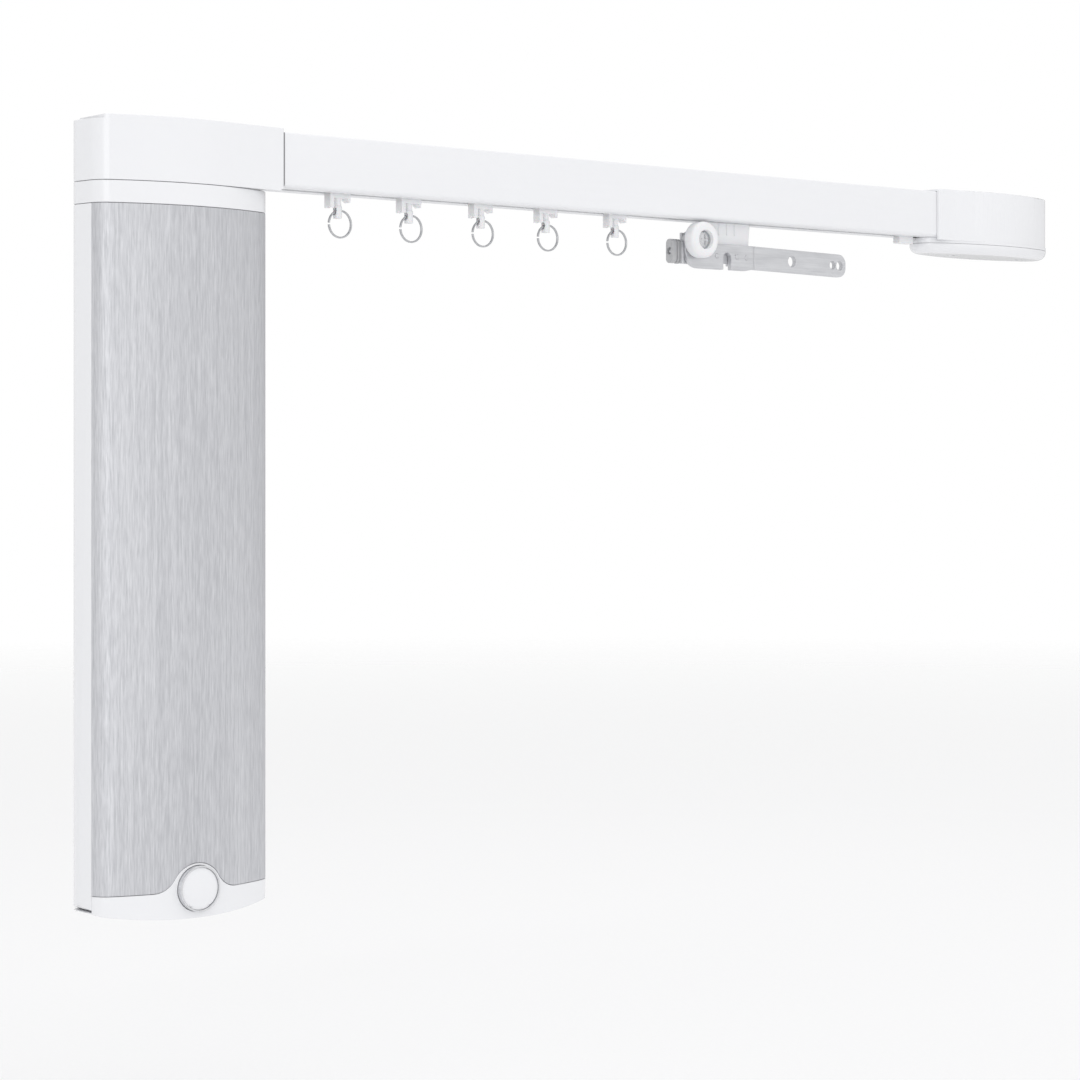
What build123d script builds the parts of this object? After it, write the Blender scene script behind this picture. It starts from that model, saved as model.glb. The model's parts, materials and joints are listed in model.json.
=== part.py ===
from build123d import *
import os
from math import atan2, cos, hypot, radians, sin, sqrt

# Electric curtain track: a slim motor unit hangs under the head at the left end of a coated
# aluminium track. A belt runs inside the track round a drive pulley in the head and a return
# pulley in the end housing. It pulls the leading carrier, and five gliders with split rings
# follow it. All lengths are in millimetres.
# X runs along the track, towards the end housing. Y points to the back, Z up.
# The origin is on the track's top face, at the middle of its visible length.

# Track
visible_track = 378.0
track_depth = 20.0
track_height = 21.7
track_wall = 1.3
track_top_corner = 0.6
track_low_corner = 1.6
track_insert = 18.0
clip_mouth = 7.0
clip_channel = 11.6
clip_lip = 1.2
clip_channel_height = 2.2
clip_web = 1.2
glider_slot = 5.0
glider_lip = 1.4

# Motor unit, seen from above
head_reach = 42.5
body_front = 15.2
front_rise = 9.2
front_half = 38.5
back_half = 41.0
body_back = 13.3
front_corner = 9.0
back_corner = 6.0
panel_edge = 2.2

# Motor unit, heights below the track's top face
shoulder_drop = 0.2
cover_rise = 1.3
seam = 0.2
head_below_track = 1.7
collar_height = 8.4
panel_length = 261.0
casing_below_panel = 6.3
cap_below_casing = 4.2
cap_side_lift = 3.5
cap_corner = 5.0
casing_corner = 5.0

# Motor unit, walls and trim
panel_thick = 1.2
panel_gap = 0.15
casing_wall = 2.0
tongue_thick = 1.25
tongue_reach = 4.0
collar_top_wall = 1.8
skirt_drop = 6.0
skirt_thick = 1.4
cap_wall = 2.0
cap_floor_step = 0.4
cap_well_half = 33.0
hump_rise = 10.5
hump_top_radius = 11.5
hump_foot_radius = 9.9
badge_radius = 8.75
badge_lift = 0.7
badge_proud = 2.0
badge_depth = 4.2
badge_ring_width = 0.6
badge_fit = 0.1
badge_crown = 0.5
badge_seat = 1.4

# Belt drive
belt_thick = 1.2
belt_width = 6.0
belt_drop = 7.0
belt_gap = 0.05
pulley_tip_radius = 5.9
pulley_teeth = 18
pulley_tooth_depth = 0.7
pulley_tooth_half = 0.45
pulley_side_gap = 0.2
flange_thick = 1.0
flange_radius = 8.4
journal_radius = 4.0
shoulder_radius = 5.0
bush_radius = 6.0
bush_length = 3.0
running_gap = 0.05
seat_gap = 0.05
hex_half = 2.5
cavity_clear = 1.0
pulley_clear = 0.3

# Head
head_rim = 1.0
head_gap = 0.15
head_blend_x = 10.0
head_back_blend_x = 22.0
head_right_corner = 0.8
head_floor = 2.5
head_left_wall = 2.2
head_pocket_x = 11.5
cover_left = 36.0
cover_skirt_wall = 2.0
sleeve_wall = 1.0
sleeve_gap = 0.1
sleeve_step = 0.7
head_screw_x = 28.0
head_screw_front = 5.0
head_screw_back = 8.0
head_screw_near_x = 14.0
head_screw_near_y = 11.0

# Release latch at the collar's right side
latch_length = 11.0
latch_height = 5.2
latch_gap = 0.25
latch_lip = 0.6
latch_flange = 1.0
latch_stem_length = 5.0
latch_stem_height = 2.6
latch_stem_reach = 5.0
latch_ribs = 4
latch_rib_depth = 0.3

# Motor and planetary gearbox
motor_radius = 10.0
gearbox_top_wall = 3.0
gear_module = 0.45
planet_count = 3
tooth_edge_shares = (0.0, 0.16, 0.5, 0.66)
sun_teeth = 12
planet_teeth = 12
ring_teeth = 36
gear_width = 6.0
gear_gap = 0.3
tooth_depth = 0.4
mesh_gap = 0.04
carrier_disc_thick = 2.5
carrier_disc_radius = 7.6
planet_pin_radius = 0.8
output_radius = 3.5
rotor_shaft_radius = 1.0
can_length = 61.0
can_wall = 1.2
can_top_wall = 2.0
magnet_thick = 1.5
magnet_gap = 0.1
armature_gap = 0.4
armature_slots = 8
armature_slot_width = 1.2
armature_slot_depth = 1.6
armature_end_room = 4.0
end_cap_length = 6.0
terminal_length = 4.0
terminal_half = 1.6
terminal_thick = 0.6
terminal_offset = 6.0

# Motor saddles
saddle_width = 6.0
saddle_half = 13.0
saddle_front = 12.0
saddle_ear_half = 17.5
saddle_ear_thick = 3.0
saddle_screw_offset = 15.3
saddle_shares = (0.22, 0.78)

# Circuit board and what it carries
board_half = 30.0
board_thick = 1.6
board_stand = 4.6
board_top_gap = 8.0
board_above_casing_end = 15.5
board_post_radius = 2.6
board_hole_inset = 4.5
board_hole_low_inset = 9.0
transformer_length = 26.0
transformer_width = 28.0
transformer_height = 13.5
winding_bulge = 1.0
winding_share = 0.5
transformer_x = -9.0
transformer_share = 0.36
capacitor_radius = 5.0
capacitor_length = 14.0
capacitor_pitch = 10.8
capacitor_x = 13.0
capacitor_shares = (0.2, 0.28, 0.38, 0.46)
relay_length = 19.0
relay_width = 13.0
relay_height = 10.0
relay_pitch = 22.0
relay_share = 0.62

# Screws
small_shank = 0.8
small_head = 1.5
small_head_height = 0.75
small_length = 6.5
case_shank = 1.2
case_head = 2.2
case_head_height = 1.4
case_bite = 1.4
screw_gap = 0.05
cross_share = 0.28
cross_width_share = 0.2
cross_depth_share = 0.45

# Connectors, button and light in the cap's floor
connector_gap = 0.1
connector_flange = 1.0
connector_recess = 1.4
connector_y = 0.5
inlet_x = 13.0
inlet_length = 20.0
inlet_width = 10.6
inlet_height = 15.0
inlet_wall = 1.5
inlet_depth = 10.0
inlet_corner = 2.5
pin_radius = 1.15
pin_pitch = 8.6
pin_recess = 2.0
pin_tail = 2.5
socket_x = -11.5
socket_length = 13.0
socket_width = 10.0
socket_height = 14.0
socket_wall = 1.5
socket_depth = 9.5
contact_count = 4
contact_pitch = 1.25
contact_radius = 0.3
button_x = 28.5
button_radius = 2.0
button_proud = 0.6
button_travel = 0.8
button_flange = 1.0
button_flange_thick = 1.0
button_gap = 0.3
button_bore_gap = 0.1
switch_gap = 0.3
switch_half = 2.6
switch_height = 3.5
plunger_radius = 1.0
plunger_length = 1.0
light_x = -25.0
light_radius = 1.2
light_flange = 0.8
light_top = 2.2

# End housing
end_half_length = 46.75
end_axis_reach = 39.75
end_half_depth = 15.5
end_rise = 9.5
end_corner = 8.6
end_sleeve_half = 12.0
end_sleeve_length = 22.0
end_sleeve_corner = 1.8
end_top = 1.3
end_top_wall = 2.8
end_wall = 2.0
end_below_track = 2.7
end_plate_below_track = 1.4
end_plate_step = 0.25
end_seam = 0.1
end_top_round = 0.7
lower_height = 4.7
lower_left_step = 3.4
lower_round = 4.2
lower_floor = 2.0
lower_boss = 5.0
axle_radius = 1.5
axle_shoulder = 3.0
axle_foot_radius = 2.0
axle_foot = 3.2
axle_top_boss = 4.0
axle_bite = 2.0
end_boss_radius = 3.0
end_screw_left = 16.5
end_screw_right = 30.0
end_screw_bite = 7.0

# End stop
stop_length = 9.5
stop_offset = 8.0
stop_tab_drop = 3.5
stop_head_half = 6.0
stop_head_height = 3.0
stop_screw_radius = 1.5

# Gliders and their rings
glider_places = (-155.7, -119.9, -82.2, -46.7, -7.4)
glider_side_gap = 0.3
glider_head_half = 6.5
glider_head_height = 3.0
glider_half = 5.0
glider_leg = 2.0
glider_leg_drop = 5.8
glider_bridge_drop = 1.8
glider_hook = 1.4
glider_hook_drop = 2.4
glider_hook_tip = 3.4
stem_radius = 1.5
neck_radius = 1.8
neck_top_drop = 4.8
neck_bottom_drop = 9.9
eye_half_width = 1.15
eye_half_height = 1.7
eye_drop = 7.0
ring_radius = 5.2
ring_wire = 0.6
ring_shift = 1.2
ring_open_degrees = 3.5

# Leading carrier
carrier_x = 58.7
carrier_half = 13.8
carrier_stem_half = 2.2
carrier_head_half = 6.0
carrier_head_height = 4.0
carrier_head_reach = 8.0
carrier_block_front = 2.1
carrier_block_back = 4.5
carrier_block_below = 17.8
carrier_step_below = 10.9
carrier_rib_width = 0.5
carrier_rib_depth = 0.4
carrier_rib_shares = (-0.42, -0.06, 0.29)
carrier_rib_drop = 5.8
carrier_slant = 1.6
carrier_neck_inset = 1.2
post_half = 3.0
post_pin_radius = 1.2
post_pin_length = 1.6
clamp_half = 8.0
clamp_jaw = 0.9
clamp_gap = 0.3
clamp_floor = 1.05
clamp_tooth_pitch = 2.0
clamp_tooth = 0.5

# Overlap arm. Its places along the track are measured from the middle of the carrier's block
arm_thick = 2.5
arm_gap = 0.05
arm_left = 28.3
arm_right = 73.5
arm_below_track = 10.1
arm_width = 10.6
arm_slope = 1.2
arm_end_corner = 4.4
arm_left_corner = 8.5
arm_left_step = 0.8
arm_step_end = 9.0
arm_lobe_right = 12.5
arm_lobe_below_track = 5.1
arm_lobe_corner = 3.5
arm_fold = 13.5
arm_fold_width = 0.8
arm_fold_depth = 0.3
notch_place = -2.6
notch_width = 4.8
notch_depth = 6.9
wide_hole_radius = 2.5
wide_hole_place = 38.3
near_hole_radius = 1.9
near_hole_place = 64.9
far_hole_radius = 2.1
far_hole_place = 69.5
rivet_radius = 1.1
rivet_shank = 0.9
rivet_height = 0.4
rivet_places = (-9.1, 3.3, 9.0)
rivet_below_middle = 0.1
rivet_bite = 3.0

# Guide roller on its screw
roller_place = -22.2
roller_below_track = 9.2
roller_radius = 8.1
roller_thick = 6.8
roller_gap = 0.3
roller_edge = 1.9
roller_recess_radius = 4.3
roller_recess = 1.2
roller_screw_head = 3.8
roller_screw_head_height = 1.6
roller_screw_shank = 1.6
roller_screw_tail = 1.2

# Buffer on its bracket, which runs on behind the arm
buffer_length = 5.4
buffer_width = 4.4
buffer_height = 10.8
buffer_corner = 2.0
buffer_y = -1.2
buffer_above_middle = 1.1
buffer_gap = 0.1
buffer_groove = 0.9
buffer_groove_depth = 0.6
buffer_groove_shares = (0.45, 0.75)
buffer_recess_radius = 1.6
buffer_recess = 1.4
buffer_head_radius = 1.4
buffer_head_height = 0.8
buffer_shank = 0.9
bracket_thick = 1.3
bracket_plate_thick = 1.2
bracket_top_step = 0.1
bracket_bottom_step = 1.0
bracket_foot_step = 1.4
bracket_lobe_step = 0.8
bracket_front = 3.7
bracket_back = 1.3
bracket_right = 11.0
bracket_boss_radius = 3.0
bracket_boss = 2.4
over = 1.0

# Derived places
track_half = track_depth / 2
track_inner = track_half - track_wall
head_face_x = -visible_track / 2
end_face_x = visible_track / 2
motor_x = head_face_x - head_reach
return_x = end_face_x + end_axis_reach
clip_bottom = clip_lip + clip_channel_height
belt_room_top = clip_bottom + clip_web
lip_top = track_height - glider_lip
head_bottom = track_height + head_below_track
collar_top = head_bottom + seam
collar_bottom = collar_top + collar_height
panel_top = collar_bottom + seam
panel_bottom = panel_top + panel_length
casing_bottom = panel_bottom + casing_below_panel
cap_bottom = casing_bottom + cap_below_casing
cap_floor_top = casing_bottom + cap_floor_step
board_bottom = casing_bottom - board_above_casing_end
end_bottom = track_height + end_below_track
end_plate_top = track_height + end_plate_below_track
belt_bottom = belt_drop + belt_width
belt_inner = pulley_tip_radius + belt_gap
belt_outer = belt_inner + belt_thick
casing_inner_y = body_back - casing_wall
cap_top = panel_bottom - hump_rise
pulley_low = -belt_bottom - pulley_side_gap - flange_thick
pulley_high = -belt_drop + pulley_side_gap + flange_thick
run_y = (belt_inner + belt_outer) / 2
clamp_low = -belt_bottom - clamp_gap - clamp_floor
clamp_outer_y = belt_outer + clamp_gap + clamp_jaw
carrier_block_bottom = track_height + carrier_block_below
carrier_step = track_height + carrier_step_below
arm_top = track_height + arm_below_track
arm_bottom = arm_top + arm_width
arm_lobe_top = track_height + arm_lobe_below_track
notch_top = arm_bottom - notch_depth
hook_hole_drop = (arm_top + arm_bottom) / 2
rivet_drop = hook_hole_drop + rivet_below_middle
roller_drop = track_height + roller_below_track
buffer_drop = hook_hole_drop - buffer_above_middle
bracket_top = arm_top - bracket_top_step
bracket_bottom = arm_bottom - bracket_bottom_step
bracket_low_top = arm_top + bracket_foot_step


def block(x_low, x_high, y_low, y_high, z_low, z_high):
    solid = Box(x_high - x_low, y_high - y_low, z_high - z_low)
    return Pos((x_low + x_high) / 2, (y_low + y_high) / 2, (z_low + z_high) / 2) * solid


def post(x, y, z_low, z_high, radius):
    return Pos(x, y, (z_low + z_high) / 2) * Cylinder(radius, z_high - z_low)


def bar_along_x(y, z, x_low, x_high, radius):
    return Pos((x_low + x_high) / 2, y, z) * Rot(0, 90, 0) * Cylinder(radius, x_high - x_low)


def bar_along_y(x, z, y_low, y_high, radius):
    return Pos(x, (y_low + y_high) / 2, z) * Rot(90, 0, 0) * Cylinder(radius, y_high - y_low)


def slab(outline, z_low, z_high, x=0.0, y=0.0):
    return Pos(x, y, z_low) * extrude(outline, amount=z_high - z_low)


def through_y(outline, y_low, y_high, x=0.0):
    # The outline's second axis is the height, and the solid runs from front to back.
    plane = Plane(origin=(x, y_high, 0), x_dir=(1, 0, 0), z_dir=(0, -1, 0))
    return extrude(plane * outline, amount=y_high - y_low)


def through_x(outline, x_low, x_high):
    # The outline's first axis is Y and its second the height.
    plane = Plane(origin=(x_low, 0, 0), x_dir=(0, 1, 0), z_dir=(1, 0, 0))
    return extrude(plane * outline, amount=x_high - x_low)


def shape_of(*edges):
    return make_face(Curve() + list(edges))


def corner_nearest(sketch, x, y):
    return min(sketch.vertices(), key=lambda v: hypot(v.X - x, v.Y - y))


def rounded(sketch, corners, radius):
    picked = [corner_nearest(sketch, x, y) for x, y in corners]
    return fillet(picked, radius)


def cross_recess(radius, depth):
    # A cross slot for a driver, centred on the origin and cut downwards from zero.
    arm = radius * (1 - cross_share) * 2
    width = radius * cross_width_share * 2
    slot = Box(arm, width, depth) + Box(width, arm, depth)
    return Pos(0, 0, -depth / 2) * slot


def screw_down(x, y, z_head, head_radius, head_height, shank_radius, length):
    # A screw driven downwards: its head stands on z_head.
    head = Pos(x, y, z_head + head_height / 2) * Cylinder(head_radius, head_height)
    head -= Pos(x, y, z_head + head_height) * cross_recess(head_radius, head_height * cross_depth_share)
    return head + post(x, y, z_head - length, z_head, shank_radius)


def screw_back(x, z, y_head, head_radius, head_height, shank_radius, length):
    # A screw driven towards the back: its head stands on the plane y_head.
    turned = Pos(x, y_head, z) * Rot(90, 0, 0)
    return turned * screw_down(0, 0, 0, head_radius, head_height, shank_radius, length)


def screw_up(x, y, z_head, head_radius, head_height, shank_radius, length):
    turned = Pos(x, y, z_head) * Rot(180, 0, 0)
    return turned * screw_down(0, 0, 0, head_radius, head_height, shank_radius, length)


def front_arc_y(x):
    # The bowed front face, as a circle through its middle and its two side corners.
    radius = (front_half * front_half + front_rise * front_rise) / (2 * front_rise)
    return -body_front + radius - sqrt(radius * radius - x * x)


def body_outline():
    side_y = front_arc_y(front_half)
    sketch = shape_of(
        ThreePointArc((-front_half, side_y), (0, -body_front), (front_half, side_y)),
        Line((front_half, side_y), (back_half, body_back)),
        Line((back_half, body_back), (-back_half, body_back)),
        Line((-back_half, body_back), (-front_half, side_y)),
    )
    sketch = rounded(sketch, [(-front_half, side_y), (front_half, side_y)], front_corner)
    return rounded(sketch, [(-back_half, body_back), (back_half, body_back)], back_corner)


def inset(sketch, distance):
    return offset(sketch, amount=-distance, kind=Kind.INTERSECTION)


def body_shell(outer_inset, inner_inset, z_low, z_high):
    outer = inset(motor_section, outer_inset) if outer_inset else motor_section
    return slab(outer, z_low, z_high) - slab(inset(motor_section, inner_inset), z_low - over, z_high + over)


def behind(y):
    return block(-body_width, body_width, y, body_width, -total_drop, total_drop)


def ahead_of(y):
    return block(-body_width, body_width, -body_width, y, -total_drop, total_drop)


motor_section = body_outline()
body_width = back_half * 2
total_drop = cap_bottom * 2


def hump_outline(lift):
    # The cap's front: flat at both sides, with a smooth rise round the badge.
    base = -panel_bottom + lift
    peak = base + hump_rise
    both = hump_top_radius + hump_foot_radius
    foot_x = sqrt(both * both - (both - hump_rise) * (both - hump_rise))
    lean = atan2(foot_x, both - hump_rise)
    top_z = peak - hump_top_radius
    join_x = hump_top_radius * sin(lean)
    join_z = top_z + hump_top_radius * cos(lean)
    foot_z = base + hump_foot_radius
    half_x = foot_x - hump_foot_radius * sin(lean / 2)
    half_z = foot_z - hump_foot_radius * cos(lean / 2)
    low = -cap_bottom - over
    return shape_of(
        Line((-body_width, low), (-body_width, base)),
        Line((-body_width, base), (-foot_x, base)),
        ThreePointArc((-foot_x, base), (-half_x, half_z), (-join_x, join_z)),
        ThreePointArc((-join_x, join_z), (0, peak), (join_x, join_z)),
        ThreePointArc((join_x, join_z), (half_x, half_z), (foot_x, base)),
        Line((foot_x, base), (body_width, base)),
        Line((body_width, base), (body_width, low)),
        Line((body_width, low), (-body_width, low)),
    )


def cap_side_outline():
    # The cap from the front: an arched bottom edge with rounded corners.
    side = -cap_bottom + cap_side_lift
    sketch = shape_of(
        ThreePointArc((-back_half, side), (0, -cap_bottom), (back_half, side)),
        Line((back_half, side), (back_half, -cap_top + over)),
        Line((back_half, -cap_top + over), (-back_half, -cap_top + over)),
        Line((-back_half, -cap_top + over), (-back_half, side)),
    )
    return rounded(sketch, [(-back_half, side), (back_half, side)], cap_corner)


def casing_side_outline():
    middle = -(casing_bottom + panel_top) / 2
    sketch = Pos(0, middle) * Rectangle(2 * back_half, casing_bottom - panel_top)
    corners = [(-back_half, -casing_bottom), (back_half, -casing_bottom)]
    return rounded(sketch, corners, casing_corner)


def casing_room_outline():
    # The casing's inside seen from the front. The wall keeps its thickness round the low corners.
    half = back_half - casing_wall
    low, high = -casing_bottom + casing_wall, -panel_top + over
    room = Pos(0, (low + high) / 2) * Rectangle(2 * half, high - low)
    room = rounded(room, [(-half, low), (half, low)], casing_corner - casing_wall)
    mouth = back_half - casing_corner
    return room + Pos(0, -casing_bottom) * Rectangle(2 * mouth, 2 * (casing_wall + over))


def make_rear_casing():
    room = slab(inset(motor_section, casing_wall), -casing_bottom - over, -panel_top + over)
    room &= through_y(casing_room_outline(), -body_width, body_width)
    shell = slab(motor_section, -casing_bottom, -panel_top) & behind(-panel_edge + panel_gap)
    shell -= room
    tongue_outer = panel_thick + panel_gap
    tongue = body_shell(tongue_outer, tongue_outer + tongue_thick,
                        -panel_bottom, -panel_top - skirt_drop - over)
    tongue &= block(-body_width, body_width, -panel_edge - tongue_reach, -panel_edge + over, -total_drop, 0)
    shell += tongue
    shell &= through_y(casing_side_outline(), -body_width, body_width)
    pilot = case_shank + screw_gap
    for x, z in board_holes():
        shell += bar_along_y(x, z, casing_inner_y - board_stand, casing_inner_y, board_post_radius)
        shell -= bar_along_y(x, z, casing_inner_y - board_stand - over, casing_inner_y + case_bite, pilot)
    for x, z in saddle_holes():
        shell -= bar_along_y(x, z, casing_inner_y - over, casing_inner_y + case_bite, pilot)
    return shell


def make_front_panel():
    panel = body_shell(0, panel_thick, -panel_bottom - over, -panel_top) & ahead_of(-panel_edge)
    return panel - through_y(hump_outline(0), -body_width, body_width)


def make_bottom_cap():
    outer = slab(motor_section, -cap_bottom, -cap_top)
    outer &= through_y(cap_side_outline(), -body_width, body_width)
    front = outer & ahead_of(-panel_edge) & through_y(hump_outline(-seam), -body_width, body_width)
    floor_top = -casing_bottom - seam
    floor = outer & block(-body_width, body_width, -body_width, body_width, -total_drop, floor_top)
    cap = front + floor
    well = inset(motor_section, cap_wall) & Rectangle(2 * cap_well_half, 2 * body_width)
    cap -= slab(well, -cap_floor_top, -cap_top + over)
    cap -= bar_along_y(0, -badge_z, -body_width, badge_back_y, badge_radius + badge_fit)
    seat = bar_along_y(0, -badge_z, badge_back_y, badge_back_y + badge_seat, badge_radius + badge_seat)
    cap += seat & outer
    for x, length, width in connectors():
        room = 2 * connector_gap
        cap -= Pos(x, connector_y, -cap_floor_top) * Box(length + room, width + room, 4 * cap_side_lift)
    cap -= post(button_x, button_y, -total_drop, 0, button_radius + button_bore_gap)
    cap -= post(light_x, 0, -total_drop, 0, light_radius + running_gap)
    return cap


badge_z = panel_bottom - badge_lift
badge_face_y = -body_front - badge_proud
badge_back_y = badge_face_y + badge_depth

# Heights down the motor unit, all below the track's top face
collar_ceiling = collar_top + collar_top_wall
skirt_inset = casing_wall + panel_gap
collar_wall = skirt_inset + skirt_thick
gearbox_top = collar_ceiling + seat_gap
disc_top = gearbox_top + gearbox_top_wall + gear_gap
gears_top = disc_top + carrier_disc_thick + gear_gap
gears_bottom = gears_top + gear_width
gearbox_bottom = gears_bottom + gear_gap
can_top = gearbox_bottom + seat_gap
can_bottom = can_top + can_length
end_cap_top = can_bottom + seat_gap
end_cap_bottom = end_cap_top + end_cap_length
board_top = end_cap_bottom + terminal_length + board_top_gap
board_back_y = casing_inner_y - board_stand
board_front_y = board_back_y - board_thick
connector_bottom = cap_bottom - connector_recess
latch_z = collar_ceiling + latch_lip + latch_gap + latch_height / 2
latch_front_y = -panel_edge + panel_gap
hex_top = belt_drop
button_y = board_front_y - switch_half


def board_holes():
    x = board_half - board_hole_inset
    drops = (board_top + board_hole_inset, board_bottom - board_hole_low_inset)
    return [(side * x, -drop) for side in (-1, 1) for drop in drops]


def saddle_drops():
    return [can_top + can_length * share for share in saddle_shares]


def saddle_holes():
    return [(side * saddle_screw_offset, -drop) for side in (-1, 1) for drop in saddle_drops()]


def connectors():
    return [(inlet_x, inlet_length, inlet_width), (socket_x, socket_length, socket_width)]


def make_badge_ring():
    outer = bar_along_y(0, -badge_z, badge_face_y, badge_back_y, badge_radius)
    return outer - bar_along_y(0, -badge_z, -body_width, body_width, badge_radius - badge_ring_width)


def make_badge_disc():
    radius = badge_radius - badge_ring_width - running_gap
    disc = bar_along_y(0, -badge_z, badge_face_y + badge_crown, badge_back_y - seat_gap, radius)
    sphere_radius = (radius * radius + badge_crown * badge_crown) / (2 * badge_crown)
    crown = Pos(0, badge_face_y + sphere_radius, -badge_z) * Sphere(sphere_radius)
    return disc + (crown & bar_along_y(0, -badge_z, badge_face_y, badge_back_y - seat_gap, radius))


def connector_shell(x, length, width, height, wall, depth, corner):
    low = -connector_bottom
    shell = slab(Pos(x, connector_y) * Rectangle(length, width), low, low + height)
    flange = Rectangle(length + 2 * connector_flange, width + 2 * connector_flange)
    flange_low = -cap_floor_top
    shell += slab(Pos(x, connector_y) * flange, flange_low, flange_low + connector_flange)
    mouth = RectangleRounded(length - 2 * wall, width - 2 * wall, corner)
    return shell - slab(Pos(x, connector_y) * mouth, low - over, low + depth)


def inlet_pin_places():
    return [(inlet_x + side * pin_pitch / 2, connector_y) for side in (-1, 1)]


def socket_contact_places():
    middle = (contact_count - 1) / 2
    y = connector_y + socket_width / 2 - socket_wall - 2 * contact_radius
    return [(socket_x + (i - middle) * contact_pitch, y) for i in range(contact_count)]


def make_mains_inlet():
    shell = connector_shell(inlet_x, inlet_length, inlet_width, inlet_height, inlet_wall, inlet_depth,
                            inlet_corner)
    for x, y in inlet_pin_places():
        shell -= post(x, y, -connector_bottom, 0, pin_radius + screw_gap)
    return shell


def make_control_socket():
    shell = connector_shell(socket_x, socket_length, socket_width, socket_height, socket_wall,
                            socket_depth, socket_wall / 2)
    for x, y in socket_contact_places():
        shell -= post(x, y, -connector_bottom, 0, contact_radius + screw_gap)
    return shell


def make_socket_contacts():
    low = -connector_bottom + pin_recess
    pins = [post(x, y, low, -connector_bottom + inlet_height + pin_tail / 2, pin_radius)
            for x, y in inlet_pin_places()]
    contacts = [post(x, y, low, -connector_bottom + socket_height + pin_tail, contact_radius)
                for x, y in socket_contact_places()]
    return pins + contacts


def make_programming_button():
    low = -cap_bottom + connector_recess - button_proud
    high = -board_bottom - plunger_length - switch_gap - button_travel
    flange_low = -cap_floor_top + button_gap
    stem = post(button_x, button_y, low, high, button_radius)
    return stem + post(button_x, button_y, flange_low, flange_low + button_flange_thick,
                       button_radius + button_flange)


def make_programming_switch():
    low = -board_bottom
    body = block(button_x - switch_half, button_x + switch_half, button_y - switch_half, board_front_y,
                 low, low + switch_height)
    return body + post(button_x, button_y, low - plunger_length, low, plunger_radius)


def make_status_light():
    low = -cap_bottom + connector_recess
    high = -cap_floor_top + light_top
    lens = post(light_x, 0, low, high, light_radius)
    return lens + post(light_x, 0, -cap_floor_top, high, light_radius + light_flange)


def make_circuit_board():
    board = block(-board_half, board_half, board_front_y, board_back_y, -board_bottom, -board_top)
    for x, z in board_holes():
        board -= bar_along_y(x, z, board_front_y - over, board_back_y + over, case_shank + screw_gap)
    return board


def on_board(share):
    return -board_bottom + (board_bottom - board_top) * share


def make_board_transformer():
    z = on_board(transformer_share)
    depth = transformer_height
    low = z - transformer_length / 2
    core = block(transformer_x - transformer_width / 2, transformer_x + transformer_width / 2,
                 board_front_y - depth, board_front_y, low, low + transformer_length)
    half = transformer_width / 2 + winding_bulge
    low_y = board_front_y - depth * (1 + winding_share) / 2
    high_y = board_front_y - depth * (1 - winding_share) / 2
    reach = transformer_length * winding_share / 2
    return core + block(transformer_x - half, transformer_x + half, low_y, high_y, z - reach, z + reach)


def make_board_capacitors():
    cans = []
    for i, share in enumerate(capacitor_shares):
        x = capacitor_x + (i % 2) * capacitor_pitch
        top_y = board_front_y - capacitor_length
        cans.append(bar_along_y(x, on_board(share), top_y, board_front_y, capacitor_radius))
    return cans


def make_board_relays():
    boxes = []
    z = on_board(relay_share)
    for side in (-1, 1):
        x = side * relay_pitch / 2
        box = block(x - relay_width / 2, x + relay_width / 2, board_front_y - relay_height, board_front_y,
                    z - relay_length / 2, z + relay_length / 2)
        boxes.append(box)
    return boxes


def make_casing_screws():
    screws = []
    for x, z in board_holes():
        length = board_thick + board_stand + case_bite - screw_gap
        screws.append(screw_back(x, z, board_front_y, case_head, case_head_height, case_shank, length))
    for x, z in saddle_holes():
        length = saddle_ear_thick + case_bite - screw_gap
        y = casing_inner_y - saddle_ear_thick
        screws.append(screw_back(x, z, y, case_head, case_head_height, case_shank, length))
    return screws


def make_motor_saddles():
    saddles = []
    for drop in saddle_drops():
        low, high = -drop - saddle_width / 2, -drop + saddle_width / 2
        ring = block(-saddle_half, saddle_half, -saddle_front, casing_inner_y, low, high)
        ear_y = casing_inner_y - saddle_ear_thick
        ring += block(-saddle_ear_half, saddle_ear_half, ear_y, casing_inner_y, low, high)
        ring -= post(0, 0, low - over, high + over, motor_radius + seat_gap)
        for side in (-1, 1):
            ring -= bar_along_y(side * saddle_screw_offset, -drop, ear_y - over, casing_inner_y + over,
                                case_shank + screw_gap)
        saddles.append(ring)
    return saddles


def gear_outline(pitch, teeth, outward):
    # Plain teeth that stop short of the pitch circle, so a pair clears at every angle.
    # outward is 1 for a gear with outside teeth and -1 for the teeth inside a ring.
    tip = pitch - outward * mesh_gap
    root = tip - outward * tooth_depth
    points = []
    for i in range(teeth):
        for share, radius in zip(tooth_edge_shares, (root, tip, tip, root)):
            angle = radians(360 * (i + share) / teeth)
            points.append((radius * cos(angle), radius * sin(angle)))
    return make_face(Polyline(*points, close=True))


def pitch_radius(teeth):
    return teeth * gear_module / 2


def planet_centres():
    orbit = pitch_radius(sun_teeth) + pitch_radius(planet_teeth)
    angles = [radians(90 + 360 * i / planet_count) for i in range(planet_count)]
    return [(orbit * cos(a), orbit * sin(a)) for a in angles]


def make_gearbox_housing():
    housing = post(0, 0, -gearbox_bottom, -gearbox_top, motor_radius)
    room = pitch_radius(ring_teeth) + mesh_gap + tooth_depth
    housing -= post(0, 0, -total_drop, -gearbox_top - gearbox_top_wall, room)
    ring = post(0, 0, -gearbox_bottom, -gears_top, room + tooth_depth)
    teeth = gear_outline(pitch_radius(ring_teeth), ring_teeth, -1)
    ring -= slab(teeth, -gearbox_bottom - over, -gears_top + over)
    return housing + ring - post(0, 0, -total_drop, 0, output_radius + running_gap)


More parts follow.
